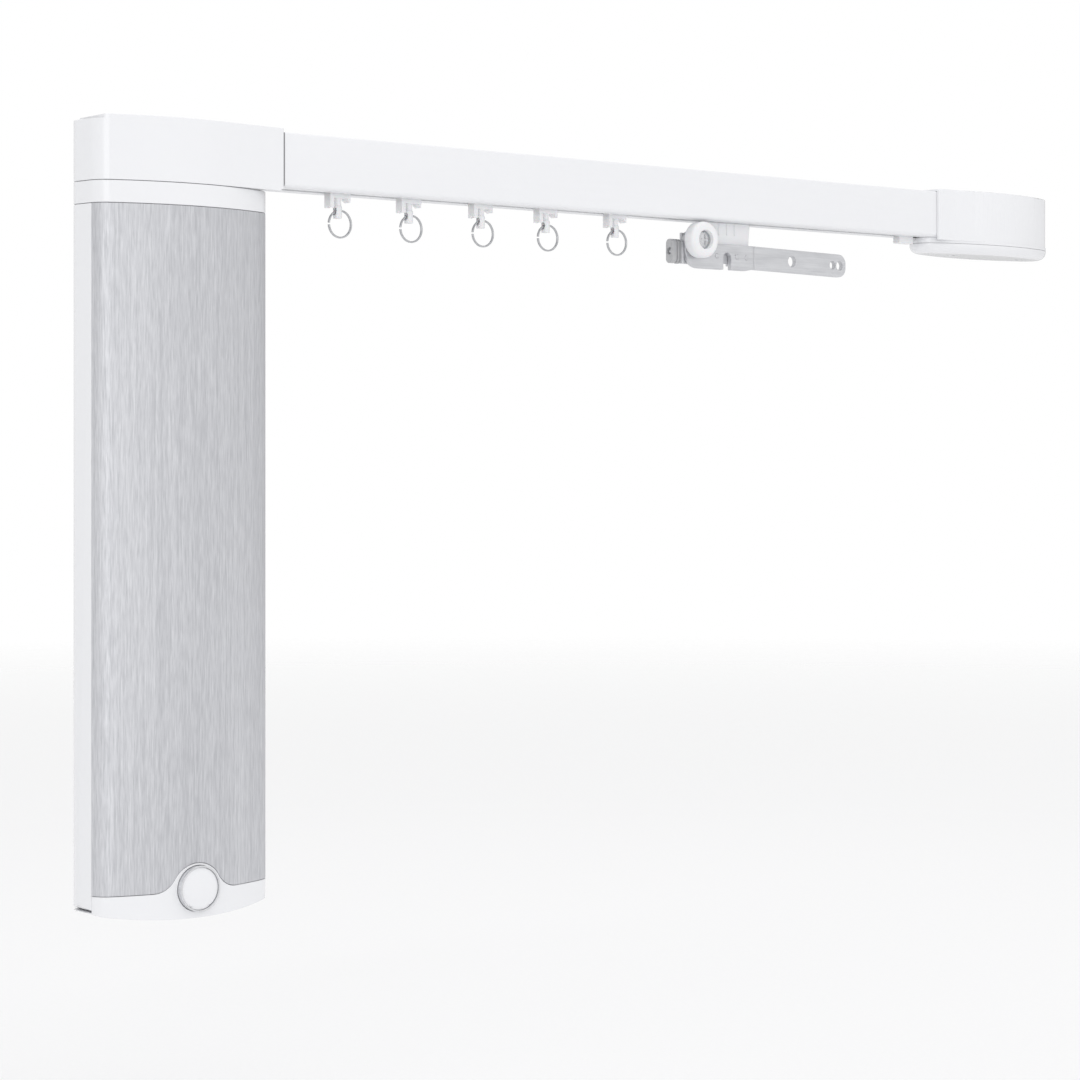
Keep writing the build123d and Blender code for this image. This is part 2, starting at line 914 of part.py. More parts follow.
def make_planet_carrier():
    disc_bottom = disc_top + carrier_disc_thick
    part = post(0, 0, -disc_bottom, -disc_top, carrier_disc_radius)
    for x, y in planet_centres():
        part += post(x, y, -gears_bottom, -disc_bottom, planet_pin_radius)
    part += post(0, 0, -disc_top, -collar_top, output_radius)
    hexagon = RegularPolygon(hex_half, 6, major_radius=False)
    return part + slab(hexagon, -collar_top, -hex_top)


def make_planet_gear(centre):
    gear = slab(gear_outline(pitch_radius(planet_teeth), planet_teeth, 1), -gears_bottom, -gears_top)
    gear -= post(0, 0, -total_drop, 0, planet_pin_radius + running_gap)
    return Pos(centre[0], centre[1]) * gear


def make_sun_gear():
    gear = slab(gear_outline(pitch_radius(sun_teeth), sun_teeth, 1), -gears_bottom, -gears_top)
    return gear - post(0, 0, -total_drop, 0, rotor_shaft_radius + screw_gap)


def make_motor_can():
    can = post(0, 0, -can_bottom, -can_top, motor_radius)
    can -= post(0, 0, -total_drop, -can_top - can_top_wall, motor_radius - can_wall)
    return can - post(0, 0, -total_drop, 0, rotor_shaft_radius + running_gap)


def magnet_outer():
    return motor_radius - can_wall - magnet_gap / 2


def make_stator_magnets():
    outer = magnet_outer()
    top = can_top + can_top_wall + armature_end_room
    ring = post(0, 0, -can_bottom + armature_end_room, -top, outer)
    ring -= post(0, 0, -total_drop, 0, outer - magnet_thick)
    right = block(magnet_thick, body_width, -body_width, body_width, -total_drop, 0)
    return [ring & right, ring & (Rot(0, 0, 180) * right)]


def make_motor_rotor():
    radius = magnet_outer() - magnet_thick - armature_gap
    top = can_top + can_top_wall + armature_end_room
    core = post(0, 0, -can_bottom + armature_end_room, -top, radius)
    for i in range(armature_slots):
        slot = block(radius - armature_slot_depth, radius + over, -armature_slot_width / 2,
                     armature_slot_width / 2, -total_drop, 0)
        core -= Rot(0, 0, 360 * i / armature_slots) * slot
    return core + post(0, 0, -end_cap_top - end_cap_length / 2, -gears_top, rotor_shaft_radius)


def make_motor_end_cap():
    cap = post(0, 0, -end_cap_bottom, -end_cap_top, motor_radius)
    cap -= post(0, 0, -end_cap_top - end_cap_length / 2 - seat_gap, 0, rotor_shaft_radius + running_gap)
    for side in (-1, 1):
        x = side * terminal_offset
        cap += block(x - terminal_half, x + terminal_half, -terminal_thick / 2, terminal_thick / 2,
                     -end_cap_bottom - terminal_length, -end_cap_bottom)
    return cap


def latch_window(margin, x_low, x_high):
    y_high = latch_front_y + latch_length + margin
    half = latch_height / 2 + margin
    return block(x_low, x_high, latch_front_y - margin, y_high, -latch_z - half, -latch_z + half)


def make_motor_collar():
    collar = slab(motor_section, -collar_bottom, -collar_top)
    collar += slab(inset(motor_section, skirt_inset), -collar_bottom - skirt_drop, -collar_bottom)
    collar -= slab(inset(motor_section, collar_wall), -total_drop, -collar_ceiling)
    collar -= post(0, 0, -total_drop, -collar_ceiling, motor_radius + pulley_clear)
    collar -= post(0, 0, -total_drop, 0, output_radius + pulley_clear)
    return collar - latch_window(latch_gap, 0, body_width)


def make_release_latch():
    inner = collar_wall + panel_gap
    plate = body_shell(0, inner, -collar_bottom, -collar_top) & latch_window(0, 0, body_width)
    flange = body_shell(inner, inner + latch_flange, -collar_bottom, -collar_ceiling)
    flange_x = front_half - inner - latch_flange
    latch = plate + (flange & latch_window(latch_lip, flange_x, body_width))
    x_inner = flange_x - latch_stem_reach
    y_mid = latch_front_y + latch_length / 2
    latch += block(x_inner, x_inner + latch_stem_reach + over, y_mid - latch_stem_length / 2,
                   y_mid + latch_stem_length / 2, -latch_z - latch_stem_height / 2,
                   -latch_z + latch_stem_height / 2)
    for i in range(latch_ribs):
        z = -latch_z + (i - (latch_ribs - 1) / 2) * latch_height / (latch_ribs + 1)
        groove = body_shell(0, latch_rib_depth, z - latch_rib_depth, z + latch_rib_depth)
        latch -= groove & latch_window(-latch_lip, 0, body_width)
    return latch


def head_outline():
    side_y = front_arc_y(front_half)
    middle_x = (head_blend_x - front_half) / 2
    face_y = track_half + sleeve_gap + sleeve_wall
    blend = (head_blend_x, front_arc_y(head_blend_x))
    sketch = shape_of(
        ThreePointArc((-front_half, side_y), (middle_x, front_arc_y(middle_x)), blend),
        Line(blend, (head_reach, -face_y)),
        Line((head_reach, -face_y), (head_reach, face_y)),
        Line((head_reach, face_y), (head_back_blend_x, body_back)),
        Line((head_back_blend_x, body_back), (-back_half, body_back)),
        Line((-back_half, body_back), (-front_half, side_y)),
    )
    sketch = rounded(sketch, [(-front_half, side_y)], front_corner)
    sketch = rounded(sketch, [(-back_half, body_back)], back_corner)
    return rounded(sketch, [(head_reach, -face_y), (head_reach, face_y)], head_right_corner)


def head_screw_places():
    return [(-head_screw_x, -head_screw_front), (-head_screw_x, head_screw_back),
            (head_screw_near_x, -head_screw_near_y), (head_screw_near_x, head_screw_near_y)]


def track_room(reach_x, gap, z_low, z_high):
    half = track_half + gap
    return block(head_reach - track_insert - gap, reach_x, -half, half, z_low, z_high)


def make_head_housing():
    outline = head_outline()
    face_y = track_half + sleeve_gap
    housing = slab(outline, -head_bottom, -shoulder_drop)
    rim = slab(outline, -shoulder_drop, cover_rise)
    rim -= slab(inset(outline, head_rim), -over, cover_rise + over)
    left_rim = block(-cover_left, head_blend_x, -body_width, 0, -over, cover_rise)
    right_rim = block(head_blend_x, head_reach, -body_width, -face_y, -over, cover_rise)
    housing += rim & (left_rim + right_rim)
    floor_z = -head_bottom + head_floor
    housing -= post(0, 0, floor_z, 0, flange_radius + cavity_clear)
    housing -= block(0, head_reach - track_insert + over, -track_inner, track_inner, floor_z, 0)
    housing -= track_room(head_reach + over, sleeve_gap, -head_bottom - over, 0)
    left_side = Pos(-body_width - head_pocket_x, 0) * Rectangle(2 * body_width, body_width)
    hollow = slab(inset(outline, head_left_wall) & left_side, floor_z, 0)
    for x, y in head_screw_places():
        if x < 0:
            hollow -= post(x, y, -head_bottom, 0, small_head + over)
    housing -= hollow
    for x, y in head_screw_places():
        housing -= post(x, y, -small_length - over, 0, small_shank + screw_gap)
    housing -= post(0, 0, -head_bottom - over, floor_z + over, bush_radius + seat_gap)
    step = block(back_half + seam, head_reach + over, -body_width, body_width, -total_drop,
                 -head_bottom + sleeve_step)
    return housing - step


def make_head_cover():
    outline = inset(head_outline(), head_rim + head_gap)
    cover = slab(outline, -shoulder_drop, cover_rise)
    cover &= block(-cover_left + head_gap, head_reach, -body_width, body_width, -over, cover_rise)
    cover -= track_room(head_reach + over, sleeve_gap, -over, sleeve_gap)
    boss_radius = bush_radius + cover_skirt_wall
    cover += post(0, 0, -shoulder_drop - bush_length - seat_gap, -shoulder_drop, boss_radius)
    cover -= post(0, 0, -total_drop, -shoulder_drop, bush_radius + seat_gap)
    for x, y in head_screw_places():
        cover -= post(x, y, -over, cover_rise + over, small_shank + screw_gap)
        cover -= post(x, y, cover_rise - small_head_height, cover_rise + over, small_head + screw_gap)
    return cover


def make_head_screws():
    return [screw_down(x, y, cover_rise - small_head_height, small_head, small_head_height - screw_gap,
                       small_shank, small_length) for x, y in head_screw_places()]


def make_pulley_bushes():
    bushes = []
    for low in (-head_bottom, -shoulder_drop - bush_length - seat_gap / 2):
        ring = post(0, 0, low, low + bush_length, bush_radius)
        bushes.append(ring - post(0, 0, low - over, low + bush_length + over, journal_radius + running_gap))
    return bushes


def toothed_pulley():
    # The rim with its two flanges, at the belt's height.
    low = -belt_bottom - pulley_side_gap
    high = -belt_drop + pulley_side_gap
    pulley = post(0, 0, low, high, pulley_tip_radius)
    for i in range(pulley_teeth):
        groove = block(pulley_tip_radius - pulley_tooth_depth, pulley_tip_radius + over,
                       -pulley_tooth_half, pulley_tooth_half, low, high)
        pulley -= Rot(0, 0, 360 * i / pulley_teeth) * groove
    pulley += post(0, 0, low - flange_thick, low, flange_radius)
    return pulley + post(0, 0, high, high + flange_thick, flange_radius)


def make_drive_pulley():
    pulley = toothed_pulley()
    pulley += post(0, 0, -head_bottom + running_gap, pulley_low, journal_radius)
    pulley += post(0, 0, -head_bottom + bush_length + pulley_side_gap, pulley_low, shoulder_radius)
    pulley += post(0, 0, pulley_high, -shoulder_drop - 2 * pulley_side_gap, journal_radius)
    hexagon = RegularPolygon(hex_half + screw_gap, 6, major_radius=False)
    return pulley - slab(hexagon, -total_drop, -hex_top + pulley_side_gap)


def track_section():
    half = track_half
    outer = shape_of(
        Line((-half, 0), (half, 0)),
        Line((half, 0), (half, -track_height)),
        Line((half, -track_height), (-half, -track_height)),
        Line((-half, -track_height), (-half, 0)),
    )
    outer = rounded(outer, [(-half, 0), (half, 0)], track_top_corner)
    outer = rounded(outer, [(-half, -track_height), (half, -track_height)], track_low_corner)
    outer -= Pos(0, -(belt_room_top + lip_top) / 2) * Rectangle(2 * track_inner, lip_top - belt_room_top)
    outer -= Pos(0, -track_height) * Rectangle(glider_slot, 2 * glider_lip + over)
    outer -= Rectangle(clip_mouth, 2 * clip_lip + over)
    channel_middle = clip_lip + clip_channel_height / 2
    return outer - Pos(0, -channel_middle) * Rectangle(clip_channel, clip_channel_height)


def make_track_profile():
    return through_x(track_section(), head_face_x - track_insert, end_face_x + track_insert)


def make_drive_belt():
    span = return_x - motor_x
    outer = SlotCenterToCenter(span, 2 * belt_outer)
    inner = SlotCenterToCenter(span, 2 * belt_inner)
    return slab(outer - inner, -belt_bottom, -belt_drop, (return_x + motor_x) / 2)


def lens_outline(left_step=0.0):
    # Seen from above, with its left end moved in by the step.
    half = end_half_length - left_step / 2
    side_y = end_half_depth - end_rise
    sketch = shape_of(
        ThreePointArc((-half, -side_y), (0, -end_half_depth), (half, -side_y)),
        Line((half, -side_y), (half, side_y)),
        ThreePointArc((half, side_y), (0, end_half_depth), (-half, side_y)),
        Line((-half, side_y), (-half, -side_y)),
    )
    corners = [(x, y) for x in (-half, half) for y in (-side_y, side_y)]
    return Pos(left_step / 2, 0) * rounded(sketch, corners, end_corner)


def right_of(x):
    return Pos(x + body_width, 0) * Rectangle(2 * body_width, body_width)


def end_outline():
    sleeve_x = -end_axis_reach + end_sleeve_length / 2
    sleeve = Pos(sleeve_x, 0) * Rectangle(end_sleeve_length, 2 * end_sleeve_half)
    both = (lens_outline() & right_of(-end_axis_reach)) + sleeve
    corners = [(-end_axis_reach, -end_sleeve_half), (-end_axis_reach, end_sleeve_half)]
    return rounded(both, corners, end_sleeve_corner)


def end_plate_outline():
    return inset(lens_outline(lower_left_step), -end_plate_step)


def make_end_housing():
    # The body stands on a plate that runs on to the left, under the track.
    housing = slab(end_outline(), -end_plate_top, end_top)
    top_face = housing.faces().sort_by(Axis.Z)[-1]
    housing = fillet(top_face.edges(), end_top_round)
    half = track_half + sleeve_gap
    room_right = -end_axis_reach + track_insert + sleeve_gap
    room_low = -track_height - sleeve_gap
    housing -= block(-end_axis_reach - over, room_right, -half, half, -end_bottom, sleeve_gap)
    below_track = Pos(room_right - body_width, 0) * Rectangle(2 * body_width, 2 * half)
    housing += slab(end_plate_outline(), -end_bottom, -end_plate_top)
    housing += slab(end_plate_outline() & below_track, -end_plate_top, room_low)
    ceiling = end_top - end_top_wall
    well = inset(lens_outline(), end_wall) & right_of(room_right - over)
    housing -= slab(well, -end_bottom - over, ceiling)
    housing += post(0, 0, pulley_high + pulley_clear, ceiling, axle_top_boss)
    housing -= post(0, 0, pulley_high, ceiling + axle_bite, axle_radius + screw_gap)
    for x in (-end_screw_left, end_screw_right):
        housing += post(x, 0, -end_bottom, ceiling, end_boss_radius)
        housing -= post(x, 0, -total_drop, -end_bottom + end_screw_bite + over, case_shank + screw_gap)
    return housing


def make_end_lower_cover():
    top = -end_bottom - end_seam
    low = top - lower_height
    outline = end_plate_outline()
    cover = slab(outline, low, top)
    cover = fillet(cover.faces().sort_by(Axis.Z)[0].edges(), lower_round)
    well = inset(outline, end_wall) & right_of(-end_axis_reach + over)
    cover -= slab(well, low + lower_floor, top + over)
    cover += post(0, 0, low + lower_floor - seat_gap, top, lower_boss)
    cover -= post(0, 0, top - axle_foot - seat_gap, top + over, axle_foot_radius + screw_gap)
    for x in (-end_screw_left, end_screw_right):
        cover += post(x, 0, low + lower_floor - seat_gap, top, end_boss_radius + seat_gap)
        cover -= post(x, 0, low - over, top + over, case_shank + screw_gap)
        cover -= post(x, 0, low - over, low + case_head_height, case_head + screw_gap)
    return cover


def make_end_screws():
    low = -end_bottom - end_seam - lower_height + case_head_height
    length = lower_height - case_head_height + end_seam + end_screw_bite
    return [screw_up(x, 0, low, case_head, case_head_height - screw_gap, case_shank, length)
            for x in (-end_screw_left, end_screw_right)]


def make_return_pulley():
    pulley = toothed_pulley()
    pulley += post(0, 0, pulley_low - over, pulley_low, axle_shoulder)
    return pulley - post(0, 0, -total_drop, 0, axle_radius + running_gap)


def make_return_axle():
    seat = -end_bottom - end_seam
    axle = post(0, 0, seat - axle_foot, seat + seat_gap, axle_foot_radius)
    axle += post(0, 0, seat + seat_gap, pulley_low - over - pulley_clear, axle_shoulder)
    top = end_top - end_top_wall + axle_bite - seat_gap
    return axle + post(0, 0, seat, top, axle_radius)


def make_end_stop():
    right = end_face_x - stop_offset
    left = right - stop_length
    half = glider_slot / 2 - glider_side_gap
    low = -track_height - stop_tab_drop
    stop = block(left, right, -half, half, low, -lip_top + seat_gap)
    stop += block(left, right, -stop_head_half, stop_head_half, -lip_top + seat_gap,
                  -lip_top + seat_gap + stop_head_height)
    middle = (left + right) / 2
    stop -= post(middle, 0, low - over, low + stop_head_height, stop_screw_radius)
    return stop


def make_glider():
    half_y = glider_slot / 2 - glider_side_gap
    head_low = -lip_top + glider_side_gap
    under = -track_height
    glider = block(-glider_half, glider_half, -glider_head_half, glider_head_half, head_low,
                   head_low + glider_head_height)
    glider += block(-glider_half, glider_half, -half_y, half_y, under - glider_bridge_drop, head_low)
    leg_x = -glider_half + glider_leg
    glider += block(-glider_half, leg_x, -half_y, half_y, under - glider_leg_drop, under)
    hook = shape_of(Polyline((glider_half - glider_hook, under), (glider_half, under),
                             (glider_half, under - glider_hook_tip),
                             (glider_half - glider_hook, under - glider_hook_drop), close=True))
    glider += through_y(hook, -half_y, half_y)
    glider += post(0, 0, under - neck_top_drop, under, stem_radius)
    glider += post(0, 0, under - neck_bottom_drop, under - neck_top_drop, neck_radius)
    eye = Pos(0, under - eye_drop) * SlotCenterToCenter(2 * (eye_half_height - eye_half_width),
                                                       2 * eye_half_width, rotation=90)
    return glider - through_x(eye, -glider_half, glider_half)


def make_ring():
    # A wire bent round in the plane of the track, open at its left side, hung in the eye.
    top = sqrt(ring_radius * ring_radius - ring_shift * ring_shift)
    centre_z = -track_height - eye_drop - top
    start = ring_open_degrees - 180
    turn = 360 - 2 * ring_open_degrees
    wire = Plane(origin=(ring_shift, 0, centre_z), x_dir=(1, 0, 0), z_dir=(0, -1, 0))
    path = wire * CenterArc((0, 0), ring_radius, start, turn)
    begin = path @ 0
    section = Plane(origin=begin, z_dir=path % 0) * Circle(ring_wire)
    return sweep(section, path=path)


def make_carrier_body():
    under = -track_height
    x_low, x_high = -carrier_half, carrier_half
    head_low = -lip_top + glider_side_gap
    head_high = head_low + carrier_head_height
    body = block(x_low - carrier_head_reach, x_high, -carrier_head_half, carrier_head_half,
                 head_low, head_high)
    neck = carrier_neck_inset
    body += block(x_low + neck, x_high - neck, -carrier_stem_half, carrier_stem_half,
                  under - glider_side_gap, head_low)
    side = shape_of(Polyline((x_low, under - glider_side_gap), (x_high, under - glider_side_gap),
                             (x_high - carrier_slant, -carrier_block_bottom),
                             (x_low, -carrier_block_bottom), close=True))
    body += through_y(side, -carrier_block_front, carrier_block_back)
    recess_back = -carrier_block_front + bracket_thick + 2 * arm_gap
    body -= block(x_low - over, x_high + over, -body_width, recess_back, -total_drop, -carrier_step)
    for share in carrier_rib_shares:
        x = carrier_half * share
        rib_y = -carrier_block_front + carrier_rib_depth
        body -= block(x - carrier_rib_width / 2, x + carrier_rib_width / 2, -body_width, rib_y,
                      under - carrier_rib_drop, under - glider_side_gap)
    body += block(-post_half, post_half, -post_half, clamp_outer_y, head_high, clamp_low - arm_gap)
    body -= post(0, run_y, clamp_low - arm_gap - post_pin_length, clamp_low, post_pin_radius + screw_gap)
    hole_end = recess_back + rivet_bite
    for place in rivet_places:
        body -= bar_along_y(place, -rivet_drop, -body_width, hole_end, rivet_shank + screw_gap)
    return body


def make_belt_clamp():
    jaw_top = -belt_drop + clamp_gap
    inner_y = belt_inner - clamp_gap
    outer_y = belt_outer + clamp_gap
    clamp = block(-clamp_half, clamp_half, inner_y - clamp_jaw, clamp_outer_y, clamp_low, jaw_top)
    clamp -= block(-clamp_half - over, clamp_half + over, inner_y, outer_y, -belt_bottom - clamp_gap, 0)
    pin_low = clamp_low - arm_gap - post_pin_length + screw_gap
    clamp += post(0, run_y, pin_low, clamp_low, post_pin_radius)
    teeth = int(clamp_half / clamp_tooth_pitch)
    for i in range(-teeth + 1, teeth):
        x = i * clamp_tooth_pitch
        clamp -= block(x - clamp_tooth / 2, x + clamp_tooth / 2, inner_y - clamp_tooth, inner_y,
                       -belt_bottom - clamp_gap, 0)
    return clamp


def make_overlap_arm():
    back = -carrier_block_front
    front = back - arm_thick
    bottom = -arm_bottom
    outline = shape_of(Polyline(
        (-arm_left, bottom - arm_left_step), (arm_step_end, bottom - arm_left_step),
        (arm_fold, bottom), (arm_right, bottom - arm_slope),
        (arm_right, -arm_top - arm_slope), (arm_fold, -arm_top), (-arm_lobe_right, -arm_top),
        (-arm_lobe_right, -arm_lobe_top), (-arm_left, -arm_lobe_top), close=True))
    outline = rounded(outline, [(-arm_left, bottom - arm_left_step)], arm_left_corner)
    lobe = [(-arm_left, -arm_lobe_top), (-arm_lobe_right, -arm_lobe_top)]
    outline = rounded(outline, lobe, arm_lobe_corner)
    ends = [(arm_right, bottom - arm_slope), (arm_right, -arm_top - arm_slope)]
    outline = rounded(outline, ends, arm_end_corner)
    notch_low = bottom - arm_slope
    notch_round = notch_width / 2
    notch = Pos(notch_place, (notch_low - notch_top - notch_round) / 2) * Rectangle(
        notch_width, -notch_top - notch_round - notch_low)
    notch += Pos(notch_place, -notch_top - notch_round) * Circle(notch_round)
    outline -= notch
    for place, radius in ((wide_hole_place, wide_hole_radius), (near_hole_place, near_hole_radius),
                          (far_hole_place, far_hole_radius)):
        drop = hook_hole_drop + arm_slope * (place - arm_fold) / (arm_right - arm_fold)
        outline -= Pos(place, -drop) * Circle(radius)
    outline -= Pos(roller_place, -roller_drop) * Circle(roller_screw_shank + screw_gap)
    arm = through_y(outline, front, back)
    arm -= block(arm_fold, arm_fold + arm_fold_width, front - over, front + arm_fold_depth, -total_drop, 0)
    for place in rivet_places:
        arm += bar_along_y(place, -rivet_drop, front - rivet_height, front + over, rivet_radius)
        arm += bar_along_y(place, -rivet_drop, back - over, back + bracket_thick + rivet_bite, rivet_shank)
    return arm


def roller_front_y():
    return -carrier_block_front - arm_thick - roller_gap - roller_thick


def make_guide_roller():
    front = roller_front_y()
    roller = bar_along_y(0, 0, front, front + roller_thick, roller_radius)
    rims = roller.edges().filter_by(GeomType.CIRCLE)
    roller = fillet(rims, roller_edge)
    roller -= bar_along_y(0, 0, front - over, front + roller_recess, roller_recess_radius)
    screw_y = front + roller_recess + roller_screw_head_height
    roller -= bar_along_y(0, 0, front, screw_y, roller_screw_head + pulley_clear)
    roller -= bar_along_y(0, 0, front, front + roller_thick + over, roller_screw_shank + running_gap)
    return Pos(roller_place, 0, -roller_drop) * roller


def make_roller_screw():
    head_y = roller_front_y() + roller_recess + roller_screw_head_height
    tail_y = -carrier_block_front + bracket_thick + bracket_boss + roller_screw_tail
    return screw_back(roller_place, -roller_drop, head_y - running_gap, roller_screw_head,
                      roller_screw_head_height, roller_screw_shank, tail_y - head_y)


def make_buffer_bracket():
    # A plate behind the arm, turned forward at its left end to carry the buffer.
    back = -carrier_block_front + arm_gap
    left = -arm_left - buffer_gap - bracket_plate_thick
    bend = left + bracket_plate_thick
    bracket = block(left, bracket_right, back, back + bracket_thick, -bracket_bottom, -bracket_low_top)
    bracket += block(bend, -carrier_half - arm_gap, back, back + bracket_thick, -bracket_bottom,
                     -arm_lobe_top - bracket_lobe_step)
    bracket += block(left, bend, -bracket_front, bracket_back, -bracket_bottom, -bracket_top)
    bracket -= bar_along_x(buffer_y, -buffer_drop, left - over, bend + over, buffer_shank + screw_gap)
    bracket += bar_along_y(roller_place, -roller_drop, back, back + bracket_thick + bracket_boss,
                           bracket_boss_radius)
    hole = roller_screw_shank + screw_gap
    bracket -= bar_along_y(roller_place, -roller_drop, back - over, body_width, hole)
    for place in rivet_places:
        bracket -= bar_along_y(place, -rivet_drop, back - over, body_width, rivet_shank + screw_gap)
    slot = notch_width / 2 - arm_gap
    return bracket - block(notch_place - slot, notch_place + slot, back - over, body_width, -total_drop,
                           -notch_top - notch_width)


def buffer_left():
    return -arm_left - buffer_gap - bracket_plate_thick - buffer_length


def make_buffer():
    left = buffer_left()
    outline = Pos(buffer_y, -buffer_drop) * RectangleRounded(buffer_width, buffer_height, buffer_corner)
    buffer = through_x(outline, left, left + buffer_length)
    inner = inset(outline, buffer_groove_depth)
    for share in buffer_groove_shares:
        x = left + buffer_length * share
        buffer -= through_x(outline, x, x + buffer_groove) - through_x(inner, x, x + buffer_groove)
    buffer -= bar_along_x(buffer_y, -buffer_drop, left - over, left + buffer_recess, buffer_recess_radius)
    hole = buffer_shank + screw_gap
    return buffer - bar_along_x(buffer_y, -buffer_drop, left, left + buffer_length + over, hole)


def make_buffer_screw():
    # The head sits in the buffer's recess, facing left.
    length = buffer_length - buffer_recess + bracket_plate_thick - screw_gap
    turned = Pos(buffer_left() + buffer_recess, buffer_y, -buffer_drop) * Rot(0, -90, 0)
    return turned * screw_down(0, 0, 0, buffer_head_radius, buffer_head_height, buffer_shank, length)


def at_motor(piece):
    pieces = piece if isinstance(piece, list) else [piece]
    return [Pos(motor_x, 0, 0) * one for one in pieces]


def at_end(piece):
    pieces = piece if isinstance(piece, list) else [piece]
    return [Pos(return_x, 0, 0) * one for one in pieces]


def at_carrier(piece):
    return [Pos(carrier_x, 0, 0) * piece]


pieces = {
    "rear_casing": at_motor(make_rear_casing()),
    "front_panel": at_motor(make_front_panel()),
    "bottom_cap": at_motor(make_bottom_cap()),
    "badge_ring": at_motor(make_badge_ring()),
    "badge_disc": at_motor(make_badge_disc()),
    "mains_inlet": at_motor(make_mains_inlet()),
    "control_socket": at_motor(make_control_socket()),
    "socket_contacts": at_motor(make_socket_contacts()),
    "programming_button": at_motor(make_programming_button()),
    "programming_switch": at_motor(make_programming_switch()),
    "status_light": at_motor(make_status_light()),
    "circuit_board": at_motor(make_circuit_board()),
    "board_transformer": at_motor(make_board_transformer()),
    "board_capacitors": at_motor(make_board_capacitors()),
    "board_relays": at_motor(make_board_relays()),
    "casing_screws": at_motor(make_casing_screws()),
    "motor_saddles": at_motor(make_motor_saddles()),
    "motor_can": at_motor(make_motor_can()),
    "stator_magnets": at_motor(make_stator_magnets()),
    "motor_rotor": at_motor(make_motor_rotor()),
    "motor_end_cap": at_motor(make_motor_end_cap()),
    "gearbox_housing": at_motor(make_gearbox_housing()),
    "sun_gear": at_motor(make_sun_gear()),
    "planet_carrier": at_motor(make_planet_carrier()),
    "motor_collar": at_motor(make_motor_collar()),
    "release_latch": at_motor(make_release_latch()),
    "head_housing": at_motor(make_head_housing()),
    "head_cover": at_motor(make_head_cover()),
    "head_screws": at_motor(make_head_screws()),
    "pulley_bushes": at_motor(make_pulley_bushes()),
    "drive_pulley": at_motor(make_drive_pulley()),
    "track_profile": [make_track_profile()],
    "drive_belt": [make_drive_belt()],
    "end_housing": at_end(make_end_housing()),
    "end_lower_cover": at_end(make_end_lower_cover()),
    "end_screws": at_end(make_end_screws()),
    "return_pulley": at_end(make_return_pulley()),
    "return_axle": at_end(make_return_axle()),
    "end_stop": [make_end_stop()],
    "carrier_body": at_carrier(make_carrier_body()),
    "belt_clamp": at_carrier(make_belt_clamp()),
    "overlap_arm": at_carrier(make_overlap_arm()),
    "guide_roller": at_carrier(make_guide_roller()),
    "roller_screw": at_carrier(make_roller_screw()),
    "buffer_bracket": at_carrier(make_buffer_bracket()),
    "buffer": at_carrier(make_buffer()),
    "buffer_screw": at_carrier(make_buffer_screw()),
}
for number, centre in enumerate(planet_centres(), 1):
    pieces[f"planet_gear_{number}"] = at_motor(make_planet_gear(centre))
for number, x in enumerate(glider_places, 1):
    pieces[f"glider_{number}"] = [Pos(x, 0, 0) * make_glider()]
    pieces[f"ring_{number}"] = [Pos(x, 0, 0) * make_ring()]

os.makedirs("parts", exist_ok=True)
for name, solids in pieces.items():
    shape = solids[0] if len(solids) == 1 else Compound(children=solids)
    export_step(shape, f"parts/{name}.step")
    print(name, len(solids), round(sum(solid.volume for solid in solids), 1))
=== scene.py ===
import json
import math

import bmesh
import bpy
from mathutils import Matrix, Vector


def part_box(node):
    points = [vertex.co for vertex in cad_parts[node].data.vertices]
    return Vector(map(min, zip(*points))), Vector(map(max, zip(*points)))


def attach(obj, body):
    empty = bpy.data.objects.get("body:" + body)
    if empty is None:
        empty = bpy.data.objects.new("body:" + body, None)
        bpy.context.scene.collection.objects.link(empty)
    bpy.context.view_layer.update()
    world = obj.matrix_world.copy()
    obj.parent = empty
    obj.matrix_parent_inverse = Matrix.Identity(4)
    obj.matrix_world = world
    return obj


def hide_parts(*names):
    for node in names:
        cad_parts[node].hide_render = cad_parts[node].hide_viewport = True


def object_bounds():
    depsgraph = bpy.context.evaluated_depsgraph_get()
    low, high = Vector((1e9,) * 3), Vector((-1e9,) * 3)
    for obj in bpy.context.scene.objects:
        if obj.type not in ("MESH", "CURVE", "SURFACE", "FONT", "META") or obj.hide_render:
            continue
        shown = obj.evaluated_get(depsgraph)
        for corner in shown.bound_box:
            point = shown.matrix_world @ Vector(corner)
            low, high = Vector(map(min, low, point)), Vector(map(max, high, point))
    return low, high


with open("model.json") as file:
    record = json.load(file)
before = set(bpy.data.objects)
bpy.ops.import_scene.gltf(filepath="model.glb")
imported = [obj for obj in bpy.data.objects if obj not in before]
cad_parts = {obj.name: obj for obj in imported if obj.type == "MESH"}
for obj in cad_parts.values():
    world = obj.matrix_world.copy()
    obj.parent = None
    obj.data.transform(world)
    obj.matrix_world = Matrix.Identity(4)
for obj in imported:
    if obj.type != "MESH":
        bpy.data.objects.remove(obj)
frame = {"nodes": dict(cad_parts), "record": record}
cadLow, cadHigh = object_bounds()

# Electric curtain track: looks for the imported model. Metres, same frame as the CAD.

scene = bpy.context.scene
scene.view_settings.view_transform = "Standard"
nodeBody = {node: body for body, nodes in frame["record"]["behaviour"]["bodies"].items() for node in nodes}
nodeSlot = {part["node"]: part["material_slot"] for part in frame["record"]["subparts"]}
perMetre = 1000  # millimetres
gliderCount = 5


# camera at the photo's viewing angle

cameraSettings = {
    "place": (-0.79856, -0.90836, -0.129),
    "turnDegrees": 39.5,
    "lensMm": 91.67,
    "sensorMm": 36.0,
    "shiftY": -0.0741,
    "clipNear": 0.05,
    "clipFar": 50,
}


